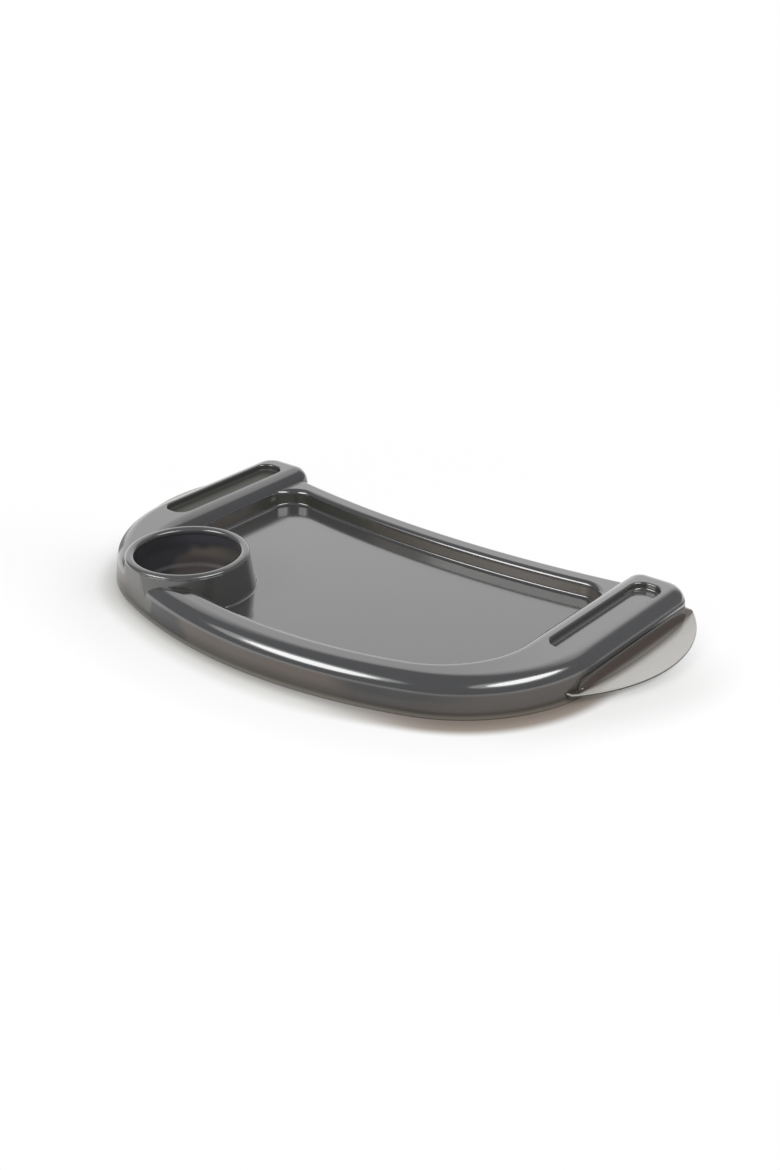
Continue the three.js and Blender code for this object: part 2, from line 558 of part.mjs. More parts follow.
// The right guide: a channel for the arm bar, a shelf for the wing, posts, ears and spring stops.
function armGuide() {
  const low = GUIDE_BOTTOM_Z;
  const lipInner = CHANNEL_INNER_X + GUIDE_LIP_WIDTH;
  const lipOuter = CHANNEL_OUTER_X - GUIDE_LIP_WIDTH;
  const screws = Object.values(SCREW_PLACES);
  const frontEar = SCREW_PLACES.front_guide;
  const rearEar = SCREW_PLACES.rear_guide;
  const parts = [
    box([GUIDE_INNER_X, GUIDE_FRONT_Y, low], [CHANNEL_INNER_X, GUIDE_BACK_Y, GUIDE_TOP_Z]),
    box([CHANNEL_OUTER_X, GUIDE_FRONT_Y, low], [GUIDE_OUTER_X, GUIDE_BACK_Y, GUIDE_TOP_Z]),
    box([GUIDE_INNER_X, GUIDE_FRONT_Y, WEB_UNDERSIDE_Z], [GUIDE_OUTER_X, GUIDE_BACK_Y, GUIDE_TOP_Z]),
    box([GUIDE_INNER_X, GUIDE_FRONT_Y, low], [GUIDE_OUTER_X, GUIDE_FRONT_Y + GUIDE_WALL, GUIDE_TOP_Z]),
    box([GUIDE_INNER_X, GUIDE_FRONT_Y, low], [lipInner, GUIDE_BACK_Y, LIP_TOP_Z]),
    box([lipOuter, GUIDE_FRONT_Y, low], [GUIDE_OUTER_X, GUIDE_BACK_Y, LIP_TOP_Z]),
    box(
      [CHANNEL_OUTER_X, TONGUE_FRONT_Y - SHELF_MARGIN, SHELF_UNDERSIDE_Z],
      [SHELF_OUTER_X, TONGUE_BACK_Y + SHELF_MARGIN, SHELF_TOP_Z],
    ),
    box(
      [frontEar.x - EAR_RADIUS, frontEar.y, SHELF_UNDERSIDE_Z],
      [frontEar.x + EAR_RADIUS, GUIDE_FRONT_Y + GUIDE_WALL, SHELF_TOP_Z],
    ),
    box(
      [CHANNEL_OUTER_X, rearEar.y - EAR_RADIUS, SHELF_UNDERSIDE_Z],
      [rearEar.x, GUIDE_BACK_Y, SHELF_TOP_Z],
    ),
    ...[frontEar, rearEar].map(({ x, y }) => bar(x, y, EAR_RADIUS, SHELF_UNDERSIDE_Z, SHELF_TOP_Z)),
    ...screws.map(({ x, y }) => bar(x, y, SEAT_PAD_RADIUS, low, SHELF_TOP_Z)),
    ...WING_SCREWS.map(({ x, y }) => bar(x, y, POST_RADIUS, SHELF_TOP_Z - GAP, POST_TOP_Z)),
    ...SPRING_YS.map((y) => box(
      [STOP_X, y - STOP_WIDTH / 2, SHELF_UNDERSIDE_Z],
      [STOP_X + STOP_THICKNESS, y + STOP_WIDTH / 2, WING_TOP_Z],
    )),
  ];
  const cuts = [
    ...screws.map(({ x, y }) => bar(x, y, SCREW_SHANK_RADIUS + GAP, low - GAP, POST_TOP_Z + OVERRUN)),
    ...screws.map(({ x, y }) => bar(x, y, SCREW_HEAD_RADIUS + GAP, low - GAP, SEAT_Z)),
    ...TOOTH_YS.map((y) => box(
      [lipOuter, y - TOOTH_LENGTH / 2 - GAP, SHELF_TOP_Z],
      [GUIDE_OUTER_X + GAP, y + TOOTH_LENGTH / 2 + GAP, POST_TOP_Z],
    )),
    ...SPRING_YS.map((y) => box(
      [SPRING_START_X - GAP, y - SPRING_RADIUS - GAP, WING_MIDDLE_Z - SPRING_RADIUS - GAP],
      [STOP_X, y + SPRING_RADIUS + GAP, POST_TOP_Z],
    )),
  ];
  return cut(join(parts), cuts);
}

// The right wing: a half-moon grip with a raised root outside, a flat slide with two teeth inside.
function releaseWing() {
  const plate = (inset) => {
    const radius = WING_RADIUS - inset;
    const from = Math.asin((WING_FRONT_Y - WING_MIDDLE_Y) / radius);
    const to = Math.asin((WING_REAR_Y - WING_MIDDLE_Y) / radius);
    return [
      ...arc(WING_CENTRE_X, WING_MIDDLE_Y, radius, from, to, 2 * FRONT_STEPS),
      [WING_SLOT_X, WING_REAR_Y],
      [WING_SLOT_X, TONGUE_BACK_Y],
      [TONGUE_INNER_X, TONGUE_BACK_Y],
      [TONGUE_INNER_X, TONGUE_FRONT_Y],
      [WING_SLOT_X, TONGUE_FRONT_Y],
      [WING_SLOT_X, WING_FRONT_Y],
    ];
  };
  const body = solid(loft([
    { ring: plate(WING_EDGE_ROUND), z: WING_UNDERSIDE_Z },
    { ring: plate(0), z: WING_UNDERSIDE_Z + WING_EDGE_ROUND },
    { ring: plate(0), z: WING_TOP_Z - WING_EDGE_ROUND },
    { ring: plate(WING_EDGE_ROUND), z: WING_TOP_Z },
  ]));
  const rootRows = [];
  for (let k = 0; k <= FILLET_STEPS; k += 1) {
    const angle = (quarter * k) / (FILLET_STEPS + 1);
    const width = WING_ROOT_WIDTH * (1 - Math.sin(angle));
    const front = WING_FRONT_Y + WING_ROOT_INSET;
    const back = WING_REAR_Y - WING_ROOT_INSET;
    rootRows.push({
      ring: [
        [WING_ROOT_X, front],
        [WING_ROOT_X + width, front + WING_ROOT_INSET],
        [WING_ROOT_X + width, back - WING_ROOT_INSET],
        [WING_ROOT_X, back],
      ],
      z: WING_TOP_Z - WING_EDGE_ROUND + (WING_ROOT_HEIGHT + WING_EDGE_ROUND) * (1 - Math.cos(angle)),
    });
  }
  const teeth = TOOTH_YS.map((y) => box(
    [CHANNEL_OUTER_X - TOOTH_REACH, y - TOOTH_LENGTH / 2, WING_UNDERSIDE_Z],
    [TONGUE_INNER_X + GUIDE_WALL, y + TOOTH_LENGTH / 2, WING_TOP_Z],
  ));
  const slots = WING_SCREWS.map(({ x, y }) => {
    const radius = POST_RADIUS + GAP;
    const width = 2 * radius + WING_TRAVEL;
    const ring = padRing(x - WING_TRAVEL / 2, y, width, 2 * radius + GAP, radius);
    return solid(loft([{ ring, z: 0 }, { ring, z: RIM_HEIGHT }]));
  });
  const windows = SPRING_YS.map((y) => box(
    [SPRING_START_X, y - SPRING_RADIUS - GAP, 0],
    [STOP_X + STOP_THICKNESS + GAP, y + SPRING_RADIUS + GAP, RIM_HEIGHT],
  ));
  return cut(join([body, solid(loft(rootRows)), ...teeth]), [...slots, ...windows]);
}

// A compression spring along X, a round wire wound evenly from end to end.
function spring(y) {
  const steps = SPRING_TURNS * COIL_STEPS;
  const run = SPRING_LENGTH - 2 * SPRING_WIRE_RADIUS;
  const radius = SPRING_RADIUS - SPRING_WIRE_RADIUS;
  const centres = [];
  for (let k = 0; k <= steps; k += 1) {
    const angle = (4 * quarter * k) / COIL_STEPS;
    centres.push(new THREE.Vector3(
      SPRING_START_X + SPRING_WIRE_RADIUS + (run * k) / steps,
      y + radius * Math.cos(angle),
      WING_MIDDLE_Z + radius * Math.sin(angle),
    ));
  }
  const positions = [];
  centres.forEach((centre) => {
    const out = new THREE.Vector3(0, centre.y - y, centre.z - WING_MIDDLE_Z).normalize();
    for (let s = 0; s < WIRE_SIDES; s += 1) {
      const angle = (4 * quarter * s) / WIRE_SIDES;
      const point = centre.clone().addScaledVector(out, SPRING_WIRE_RADIUS * Math.cos(angle));
      point.x += SPRING_WIRE_RADIUS * Math.sin(angle);
      positions.push(point.x, point.y, point.z);
    }
  });
  const index = [];
  for (let k = 0; k < steps; k += 1) {
    for (let s = 0; s < WIRE_SIDES; s += 1) {
      const a = k * WIRE_SIDES + s;
      const b = k * WIRE_SIDES + ((s + 1) % WIRE_SIDES);
      index.push(a, b + WIRE_SIDES, b, a, a + WIRE_SIDES, b + WIRE_SIDES);
    }
  }
  const last = steps * WIRE_SIDES;
  for (let s = 1; s < WIRE_SIDES - 1; s += 1) {
    index.push(0, s, s + 1, last, last + s + 1, last + s);
  }
  const geometry = new THREE.BufferGeometry();
  geometry.setAttribute('position', new THREE.Float32BufferAttribute(positions, 3));
  geometry.setIndex(index);
  return geometry;
}

// A soft pad under the guide's web, against the top of the arm bar.
function armPad(y) {
  const ring = padRing(CHANNEL_MIDDLE_X, y, PAD_WIDTH, PAD_LENGTH, PAD_CORNER_RADIUS);
  return loft([{ ring, z: WEB_UNDERSIDE_Z - PAD_THICKNESS }, { ring, z: WEB_UNDERSIDE_Z }]);
}

// A pan-head screw, head down, with a cross recess.
function screw({ x, y }) {
  const top = SEAT_Z;
  const bottom = top - SCREW_HEAD_HEIGHT;
  const body = turned(x, y, BAR_STEPS, [
    [SCREW_HEAD_RADIUS - SCREW_HEAD_HEIGHT / 3, bottom],
    [SCREW_HEAD_RADIUS, bottom + SCREW_HEAD_HEIGHT / 3],
    [SCREW_HEAD_RADIUS, top],
    [SCREW_SHANK_RADIUS, top],
    [SCREW_SHANK_RADIUS, top + SCREW_LENGTH - SCREW_SHANK_RADIUS / 2],
    [SCREW_SHANK_RADIUS / 2, top + SCREW_LENGTH],
  ]);
  const reach = SCREW_HEAD_RADIUS / 2;
  const half = SCREW_RECESS_WIDTH / 2;
  const cross = join([[reach, half], [half, reach]].map(([dx, dy]) => box(
    [x - dx, y - dy, bottom - GAP],
    [x + dx, y + dy, bottom + SCREW_RECESS_DEPTH],
  )));
  return geometryOf(cut(body, [cross]));
}

const finishes = {
  smoke: new THREE.MeshStandardMaterial({ color: 0x6b686a, roughness: 0.08, metalness: 0 }),
  liner: new THREE.MeshStandardMaterial({ color: 0x7a7778, roughness: 0.08, metalness: 0 }),
  wing: new THREE.MeshStandardMaterial({ color: 0xb9b4b0, roughness: 0.12, metalness: 0 }),
  nylon: new THREE.MeshStandardMaterial({ color: 0x4a4a4d, roughness: 0.5, metalness: 0 }),
  steel: new THREE.MeshStandardMaterial({ color: 0xb4b6ba, roughness: 0.3, metalness: 1 }),
  rubber: new THREE.MeshStandardMaterial({ color: 0x2c2c2e, roughness: 0.85, metalness: 0 }),
};

const tray = new THREE.Group();
tray.name = 'high_chair_tray';

function place(name, geometry, finish) {
  const plain = geometry.index ? geometry.toNonIndexed() : geometry;
  plain.computeVertexNormals();
  const mesh = new THREE.Mesh(plain, finish);
  mesh.name = name;
  tray.add(mesh);
}

place('tray_shell', geometryOf(trayShell()), finishes.smoke);
place('cup_liner', geometryOf(cupLiner()), finishes.liner);

const ends = ['front', 'rear'];
const handed = [
  ['arm_guide', geometryOf(armGuide()), finishes.nylon],
  ['release_wing', geometryOf(releaseWing()), finishes.wing],
  ...ends.map((end, k) => [`${end}_spring`, spring(SPRING_YS[k]), finishes.steel]),
  ...ends.map((end, k) => [`${end}_pad`, armPad(PAD_MIDDLE_Y + ((2 * k - 1) * PAD_SPACING) / 2), finishes.rubber]),
  ...Object.entries(SCREW_PLACES).map(([end, at]) => [`${end}_screw`, screw(at), finishes.steel]),
];
handed.forEach(([name, geometry, finish]) => {
  place(`right_${name}`, geometry, finish);
  place(`left_${name}`, flipped(geometry), finish);
});

export default tray;
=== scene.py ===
"""High chair tray: the dressed model of a smoke-tinted moulded tray with its cup liner and release wings.

The moulding is worked out in millimetres as closed lofts, joined and cut into one shell, and put into
meshes in metres. Angles are in radians unless a name ends in _deg.
"""

from __future__ import annotations

import logging
import math
from dataclasses import dataclass
from enum import Enum
from functools import cache
from typing import Any, Iterable, Sequence

import bmesh
import bpy
import numpy as np
from mathutils import Matrix, Vector

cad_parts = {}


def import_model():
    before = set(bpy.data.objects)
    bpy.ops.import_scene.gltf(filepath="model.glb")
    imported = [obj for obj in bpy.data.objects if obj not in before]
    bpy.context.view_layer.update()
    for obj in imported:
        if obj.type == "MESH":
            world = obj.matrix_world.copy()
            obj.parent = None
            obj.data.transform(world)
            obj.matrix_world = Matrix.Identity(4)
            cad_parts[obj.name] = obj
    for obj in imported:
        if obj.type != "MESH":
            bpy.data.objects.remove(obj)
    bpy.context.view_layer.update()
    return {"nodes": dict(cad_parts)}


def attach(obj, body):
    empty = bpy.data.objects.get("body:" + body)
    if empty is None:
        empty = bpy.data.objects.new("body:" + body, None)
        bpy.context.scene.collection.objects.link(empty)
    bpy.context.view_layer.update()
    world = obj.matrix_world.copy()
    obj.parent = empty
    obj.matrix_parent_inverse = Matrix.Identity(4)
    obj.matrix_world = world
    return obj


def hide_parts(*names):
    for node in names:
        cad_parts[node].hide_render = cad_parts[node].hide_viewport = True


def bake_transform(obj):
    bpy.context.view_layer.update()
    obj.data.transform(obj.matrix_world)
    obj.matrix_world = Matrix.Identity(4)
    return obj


LOG = logging.getLogger("high_chair_tray")
MM = 0.001
QUARTER = math.pi / 2
TURN = 2 * math.pi
CUP = np.array([-103.3, -64.3])  # the cup's axis, X and Y in millimetres
Run = tuple[float, float]  # where something sets in, and where it is whole
Band = tuple[float, float, float, float]  # a run in, then a run out
Box = tuple[tuple[float, float, float], tuple[float, float, float]]  # lowest and highest corner
Noise = tuple[float, float, tuple[float, float, float]]  # scale, detail, and stretch along X, Y and Z
EVEN = (1.0, 1.0, 1.0)


class Join(Enum):
    """How one solid is put to another."""

    ADD = "UNION"
    CUT = "DIFFERENCE"
    KEEP_SHARED = "INTERSECT"


class Place(Enum):
    """A place on the tray, as a sign along one axis."""

    @property
    def word(self) -> str:
        """The place's name as the pieces use it."""
        return self.name.lower()


class Side(Place):
    """A side of the tray, as the sign of its X."""

    LEFT = -1
    RIGHT = 1


class End(Place):
    """An end of a wing's slide, as the sign of its Y from the slide's middle."""

    FRONT = -1
    REAR = 1


# ---------------------------------------------------------------- outlines


def arc(cx: Any, cy: Any, radius: Any, start: Any, end: Any, count: int) -> np.ndarray:
    """Points on circles: centre + radius (cos a, sin a), with a running evenly from start to end.

    Args:
        cx, cy, radius, start, end: numbers, or one value for each row.
        count: points in a row.

    Returns:
        An array of rows × count × 2.
    """
    values = [np.atleast_1d(np.asarray(value, float)) for value in (cx, cy, radius, start, end)]
    cx, cy, radius, start, end = np.broadcast_arrays(*values)
    angle = np.linspace(start, end, count, axis=-1)
    centre, spoke = np.stack([cx, cy], -1)[:, None], np.stack([np.cos(angle), np.sin(angle)], -1)
    return centre + radius[:, None, None] * spoke


def spot(x: Any, y: Any, rows: int) -> np.ndarray:
    """One point for each row.

    Args:
        x, y: numbers, or one value for each row.
        rows: how many rows.

    Returns:
        An array of rows × 1 × 2.
    """
    return np.stack([np.broadcast_to(x, rows), np.broadcast_to(y, rows)], -1)[:, None, :].astype(float)


def mirrored(*stretches: np.ndarray) -> np.ndarray:
    """A half outline, given in stretches, closed by its mirror image in X.

    Args:
        stretches: rows × points × 2 each, from the front middle round the right side to the back middle.

    Returns:
        The whole outline, anticlockwise seen from above.
    """
    half = np.concatenate(stretches, axis=1)
    return np.concatenate([half, half[:, -2:0:-1] * [-1, 1]], axis=1)


def rounded(cx: float, cy: float, width: Any, length: Any, radius: Any, count: int) -> np.ndarray:
    """Rectangles with round corners: four quarter circles about the corners of an inner rectangle.

    Args:
        cx, cy: the middle.
        width, length: sizes in X and Y, one value for each row.
        radius: the corners' radius, one value for each row.
        count: points on a corner.

    Returns:
        An array of rows × 4·count × 2.
    """
    x = np.asarray(width, float) / 2 - radius
    y = np.asarray(length, float) / 2 - radius
    turns = [(x, -y, -QUARTER), (x, y, 0), (-x, y, QUARTER), (-x, -y, 2 * QUARTER)]
    return np.concatenate([arc(cx + a, cy + b, radius, k, k + QUARTER, count) for a, b, k in turns], 1)


@dataclass(frozen=True)
class TrayPlan:
    """Plan and section sizes of the moulding, in millimetres, with the origin under its middle."""

    half_width: float = 201.5
    half_depth: float = 126.0
    front_radius: float = 358.0
    front_corner: float = 114.5
    back_corner: float = 19.5
    belly_setback: float = 25.8
    belly_radius: float = 869.0
    rim_z: float = 26.3
    back_rim_z: float = 18.5
    floor_z: float = 6.1
    wall: float = 2.4
    draft: float = 1.5
    edge: float = 12.0
    belly_draft: float = 0.5
    belly_edge: float = 5.0
    rib_top: float = 24.8
    rib_end: float = 1.5
    rib_end_turn: float = 1.03 * QUARTER
    front_rim: float = 5.2
    basin_corner: float = 77.0
    basin_back_corner: float = 20.0
    back_rim: float = 6.1
    back_draft: float = 0.3
    back_draft_run: float = 8.0
    back_lip: float = 4.0
    basin_foot: float = 2.2
    lap: float = 0.03
    inner_lap: float = 0.3
    foot_round: float = 0.8
    low_inset: float = 8.0
    past_back: float = 8.0
    front_steps: int = 80
    corner_steps: int = 56
    end_steps: int = 18
    edge_steps: int = 16
    foot_steps: int = 6
    basin_steps: int = 9

    @property
    def front_y(self) -> float:
        """Y of the front arc's centre."""
        return self.front_radius - self.half_depth

    @property
    def wall_top(self) -> float:
        """Height where the skirt turns into the round edge."""
        return self.rim_z - self.edge

    @property
    def top_inset(self) -> float:
        """How far the rim's flat top stands in from the skirt's foot."""
        return self.draft + self.edge

    @property
    def rib_inner(self) -> float:
        """X of the flat rib top's inner edge."""
        return self.half_width - self.top_inset - self.rib_top

    @property
    def basin_arc(self) -> float:
        """Radius of the front rim's inner edge."""
        return self.front_radius - self.top_inset - self.front_rim

    @property
    def belly_y(self) -> float:
        """Y of the centre of the child's side arcs."""
        return self.half_depth - self.belly_setback + self.belly_radius

    @property
    def back_wall(self) -> float:
        """Radius of the basin's back wall at its top."""
        return self.belly_radius + self.belly_draft + self.belly_edge + self.back_rim

    def inset(self, z: np.ndarray, wall: float) -> np.ndarray:
        """Skin inset at a height: wall + draft·z/z0 + r - sqrt(r² - (z - z0)²), with r = edge - wall.

        Args:
            z: heights.
            wall: how far inside the outer skin.

        Returns:
            How far the skin stands in from the skirt's foot at each height.
        """
        radius = self.edge - wall
        rise = np.clip(z - self.wall_top, 0, radius)
        lean = self.draft * np.minimum(z, self.wall_top) / self.wall_top
        return wall + lean + radius - np.sqrt(np.maximum(radius**2 - rise**2, 0))

    def heights(self, wall: float, lowest: float) -> np.ndarray:
        """Row heights: the lowest, then z0 + r sin a for a from 0 to a quarter turn.

        Args:
            wall: how far inside the outer skin.
            lowest: the first row's height.

        Returns:
            The heights, rising.
        """
        angle = np.linspace(0, QUARTER, self.edge_steps + 1)
        return np.concatenate([[lowest], self.wall_top + (self.edge - wall) * np.sin(angle)])

    def front_half(self, side: float, radius: float, corner: float, inset: np.ndarray) -> np.ndarray:
        """The front arc and the corner that touches it and a straight side, moved in by an inset.

        The corner's centre is (side - c, y0 - sqrt((R - c)² - (side - c)²)), with R the arc and c the corner.

        Args:
            side: X of the straight side.
            radius: the front arc's radius.
            corner: the corner's radius.
            inset: one inset for each row.

        Returns:
            Rows of points from the front middle to the side.
        """
        x = side - corner
        y = self.front_y - math.sqrt((radius - corner) ** 2 - x**2)
        turn = math.atan2(y - self.front_y, x)
        front = arc(0, self.front_y, radius - inset, -QUARTER, turn, self.front_steps)[:, :-1]
        return np.concatenate([front, arc(x, y, corner - inset, turn, 0, self.corner_steps)], 1)

    def body(self, inset: np.ndarray) -> np.ndarray:
        """The tray's outline with a straight back, moved in by each inset.

        Args:
            inset: one inset for each row.

        Returns:
            Rows of closed outlines.
        """
        inset = np.atleast_1d(inset)
        x, y = self.half_width - self.back_corner, self.half_depth - self.back_corner
        return mirrored(
            self.front_half(self.half_width, self.front_radius, self.front_corner, inset),
            arc(x, y, self.back_corner - inset, 0, QUARTER, self.end_steps),
            spot(0, self.half_depth - inset, len(inset)),
        )

    def gap(self, inset: np.ndarray) -> np.ndarray:
        """The opening between the ribs, whose sides turn outwards round the ribs' ends.

        Args:
            inset: one inset for each row.

        Returns:
            Rows of closed outlines that run past the tray's back.
        """
        inset = np.atleast_1d(inset)
        x, y = self.rib_inner + self.rib_end, self.half_depth - self.top_inset - self.rib_end
        end = arc(x, y, self.rib_end + inset, 2 * QUARTER, self.rib_end_turn, self.end_steps)
        past = self.half_depth + self.past_back
        return mirrored(
            self.front_half(self.rib_inner, self.basin_arc, self.basin_corner, inset),
            end,
            spot(end[:, -1, 0], past, len(inset)),
            spot(0, past, len(inset)),
        )

    def low(self, side: float, belly: np.ndarray) -> np.ndarray:
        """The low body's outline: inside the ribs and the front rim, with the child's side arc behind.

        Args:
            side: how far it stands in from the tray's outline at the front and sides.
            belly: how far it stands in from the child's side arc, one value for each row.

        Returns:
            Rows of closed outlines.
        """
        belly = np.atleast_1d(belly)
        radius = self.belly_radius + belly
        end = -np.arccos((self.rib_inner + self.rib_end) / radius)
        inset = np.full(len(belly), side)
        return mirrored(
            self.front_half(self.half_width, self.front_radius, self.front_corner, inset),
            spot(self.half_width - side, self.half_depth - self.belly_setback - side, len(belly)),
            arc(0, self.belly_y, radius, end, -QUARTER, self.front_steps),
        )

    def basin(self, inset: np.ndarray, back: np.ndarray, corner: float) -> np.ndarray:
        """The basin's outline, with its back corners tucked between the sides and the concave back wall.

        A corner's centre is x = side - c, y = y0 - sqrt((R + c)² - x²), so that it touches both.

        Args:
            inset: how far the front and sides stand in, one value for each row.
            back: how far the back wall stands forward, one value for each row.
            corner: the back corners' radius.

        Returns:
            Rows of closed outlines.
        """
        inset, back = np.broadcast_arrays(np.atleast_1d(inset), np.atleast_1d(back))
        radius = self.back_wall + back
        x = self.rib_inner - inset - corner
        y = self.belly_y - np.sqrt((radius + corner) ** 2 - x**2)
        turn = np.arctan2(y - self.belly_y, x)
        return mirrored(
            self.front_half(self.rib_inner, self.basin_arc, self.basin_corner, inset),
            arc(x, y, corner, 0, turn + 2 * QUARTER, self.end_steps)[:, :-1],
            arc(0, self.belly_y, radius, turn, -QUARTER, self.front_steps),
        )


# ---------------------------------------------------------------- solids


def fillet(radius: Any, turn: Any) -> tuple[Any, Any]:
    """A quarter round between two walls: at angle a, r(1 - sin a) off one and r(1 - cos a) off the other.

    Args:
        radius: the radius, a number or one value for each point.
        turn: the angle a, from 0 to a quarter turn.

    Returns:
        Both distances.
    """
    return radius * (1 - np.sin(turn)), radius * (1 - np.cos(turn))


def skin(rows: int, count: int) -> list[list[int]]:
    """A closed loft's faces: quads join neighbouring rings, and one flat face closes each end.

    Args:
        rows: how many rings.
        count: points on each.

    Returns:
        The corner numbers of each face, anticlockwise seen from outside.
    """
    index = np.arange(rows * count).reshape(rows, count)
    ahead = np.roll(index, -1, axis=1)
    quads = np.stack([index[:-1], ahead[:-1], ahead[1:], index[1:]], -1).reshape(-1, 4)
    return [*quads.tolist(), index[0, ::-1].tolist(), index[-1].tolist()]


def solid(name: str, rings: np.ndarray, heights: Any) -> bpy.types.Object:
    """A closed loft in which each ring lies at its height.

    Args:
        name: the object's name.
        rings: rows × points × 2, anticlockwise seen from above, in millimetres.
        heights: one height for each row, or for each point of each row, in millimetres.

    Returns:
        The new object, in metres.
    """
    rows, count, _ = rings.shape
    table = np.asarray(heights, float)
    tall = np.broadcast_to(table.reshape(rows, -1, 1), (rows, count, 1))
    points = np.concatenate([rings, tall], -1).reshape(-1, 3) * MM
    return meshed(name, points, skin(rows, count))


def meshed(name: str, points: np.ndarray, faces: Sequence[Sequence[int]]) -> bpy.types.Object:
    """A linked object with a mesh of its own.

    Args:
        name: the object's name.
        points: points × 3, in metres.
        faces: corner numbers of each face, anticlockwise seen from outside.

    Returns:
        The new object.
    """
    mesh = bpy.data.meshes.new(name)
    mesh.from_pydata(points.tolist(), [], faces)
    mesh.validate()
    made = bpy.data.objects.new(name, mesh)
    bpy.context.scene.collection.objects.link(made)
    return made


def turned(
    name: str, axis: Sequence[float], profile: Sequence[Sequence[float]], sides: int = 200
) -> bpy.types.Object:
    """A round solid about an upright axis: each profile point (radius, height) becomes a ring.

    Args:
        name: the object's name.
        axis: the axis's X and Y.
        profile: (radius, height) pairs, in millimetres.
        sides: points on a ring.

    Returns:
        The new object.
    """
    table = np.asarray(profile, float)
    rings = arc(*axis, table[:, 0], 0, TURN, sides + 1)[:, :-1]
    return solid(name, rings, table[:, 1])


def block(name: str, low: Sequence[float], high: Sequence[float]) -> bpy.types.Object:
    """A box.

    Args:
        name: the object's name.
        low, high: its corners, in millimetres.

    Returns:
        The new object.
    """
    ring = np.array([[low[:2], (high[0], low[1]), high[:2], (low[0], high[1])]], float)
    return solid(name, np.repeat(ring, 2, axis=0), [low[2], high[2]])


def reflected(piece: bpy.types.Object) -> bpy.types.Object:
    """A copy on the tray's other side: X changes sign and each face's order is turned round.

    Args:
        piece: a piece on one side.

    Returns:
        The copy, with a mesh of its own.
    """
    copy = piece.copy()
    copy.data = piece.data.copy()
    bpy.context.scene.collection.objects.link(copy)
    copy.data.transform(Matrix.Scale(-1, 4, (1, 0, 0)))
    copy.data.flip_normals()
    return copy


def upright(piece: bpy.types.Object) -> None:
    """Joins a closed piece's doubled points and turns its faces outwards.

    Args:
        piece: the piece.
    """
    mesh = bmesh.new()
    mesh.from_mesh(piece.data)
    bmesh.ops.remove_doubles(mesh, verts=mesh.verts, dist=1e-7)
    bmesh.ops.recalc_face_normals(mesh, faces=mesh.faces)
    mesh.to_mesh(piece.data)
    mesh.free()


def settled(piece: bpy.types.Object) -> None:
    """Puts the evaluated mesh in place of the piece's own and drops its modifiers.

    Args:
        piece: a piece with modifiers.
    """
    graph = bpy.context.evaluated_depsgraph_get()
    mesh = bpy.data.meshes.new_from_object(piece.evaluated_get(graph), depsgraph=graph)
    old, piece.data = piece.data, mesh
    mesh.name = piece.name
    piece.modifiers.clear()
    bpy.data.meshes.remove(old)


def worked(base: bpy.types.Object, how: Join, others: Iterable[bpy.types.Object]) -> bpy.types.Object:
    """Joins solids to a base or cuts them from it, then removes them.

    Args:
        base: the solid that stays.
        how: join, cut or keep what is shared.
        others: the solids that are used up.

    Returns:
        The base.
    """
    spent = list(others)
    for other in spent:
        change = base.modifiers.new(how.name, "BOOLEAN")
        change.object, change.operation, change.solver = other, how.value, "MANIFOLD"
    settled(base)
    for other in spent:
        bpy.data.meshes.remove(other.data)
    return base


def smoothed(piece: bpy.types.Object, crease_deg: float = 32.0) -> None:
    """Smooth shading with real creases kept, where large flat faces rule the normals at their edges.

    Args:
        piece: the piece.
        crease_deg: edges that turn more than this stay sharp.
    """
    piece.data.shade_smooth()
    piece.data.set_sharp_from_angle(angle=math.radians(crease_deg))
    even = piece.modifiers.new("even_normals", "WEIGHTED_NORMAL")
    even.mode, even.weight, even.keep_sharp = "FACE_AREA", 90, True


# ---------------------------------------------------------------- materials


class Ray(Enum):
    """A kind of ray, by the name of the Light Path output that tells it."""

    CAMERA = "Is Camera Ray"
    GLOSSY = "Is Glossy Ray"


class Signal:
    """A shader socket with arithmetic: each operator adds the Math node that works it out."""

    def __init__(self, surface: Surface, socket: bpy.types.NodeSocket) -> None:
        """Wraps a socket of a surface's nodes."""
        self.surface, self.socket = surface, socket

    def _math(self, operation: str, *values: Any) -> Signal:
        """A Math node's result."""
        return self.surface.node("ShaderNodeMath", {"operation": operation}, dict(enumerate(values)))

    def __add__(self, other: Any) -> Signal:
        """self + other."""
        return self._math("ADD", self, other)

    __radd__ = __add__

    def __mul__(self, other: Any) -> Signal:
        """self × other."""
        return self._math("MULTIPLY", self, other)

    __rmul__ = __mul__

    def __sub__(self, other: Any) -> Signal:
        """self - other."""
        return self._math("SUBTRACT", self, other)

    def __rsub__(self, other: Any) -> Signal:
        """other - self."""
        return self._math("SUBTRACT", other, self)

    def __pow__(self, other: Any) -> Signal:
        """self to a power."""
        return self._math("POWER", self, other)

    def ramp(self, low: float, high: float) -> Signal:
        """0 below low and 1 above high, with a smooth run between them."""
        settings = {"interpolation_type": "SMOOTHSTEP", "clamp": True}
        return self.surface.node("ShaderNodeMapRange", settings, {0: self, 1: low, 2: high, 3: 0.0, 4: 1.0})

    def band(self, low: float, full: float, fade: float, high: float) -> Signal:
        """1 from full to fade and 0 outside low to high, with a smooth run at each end."""
        return self.ramp(low, full) * (1 - self.ramp(fade, high))

    def distance(self) -> Signal:
        """The absolute value."""
        return self._math("ABSOLUTE", self)


def reach_of(x: Signal, y: Signal) -> Signal:
    """How far a point is from the origin: sqrt(x² + y²)."""
    return (x * x + y * y) ** 0.5


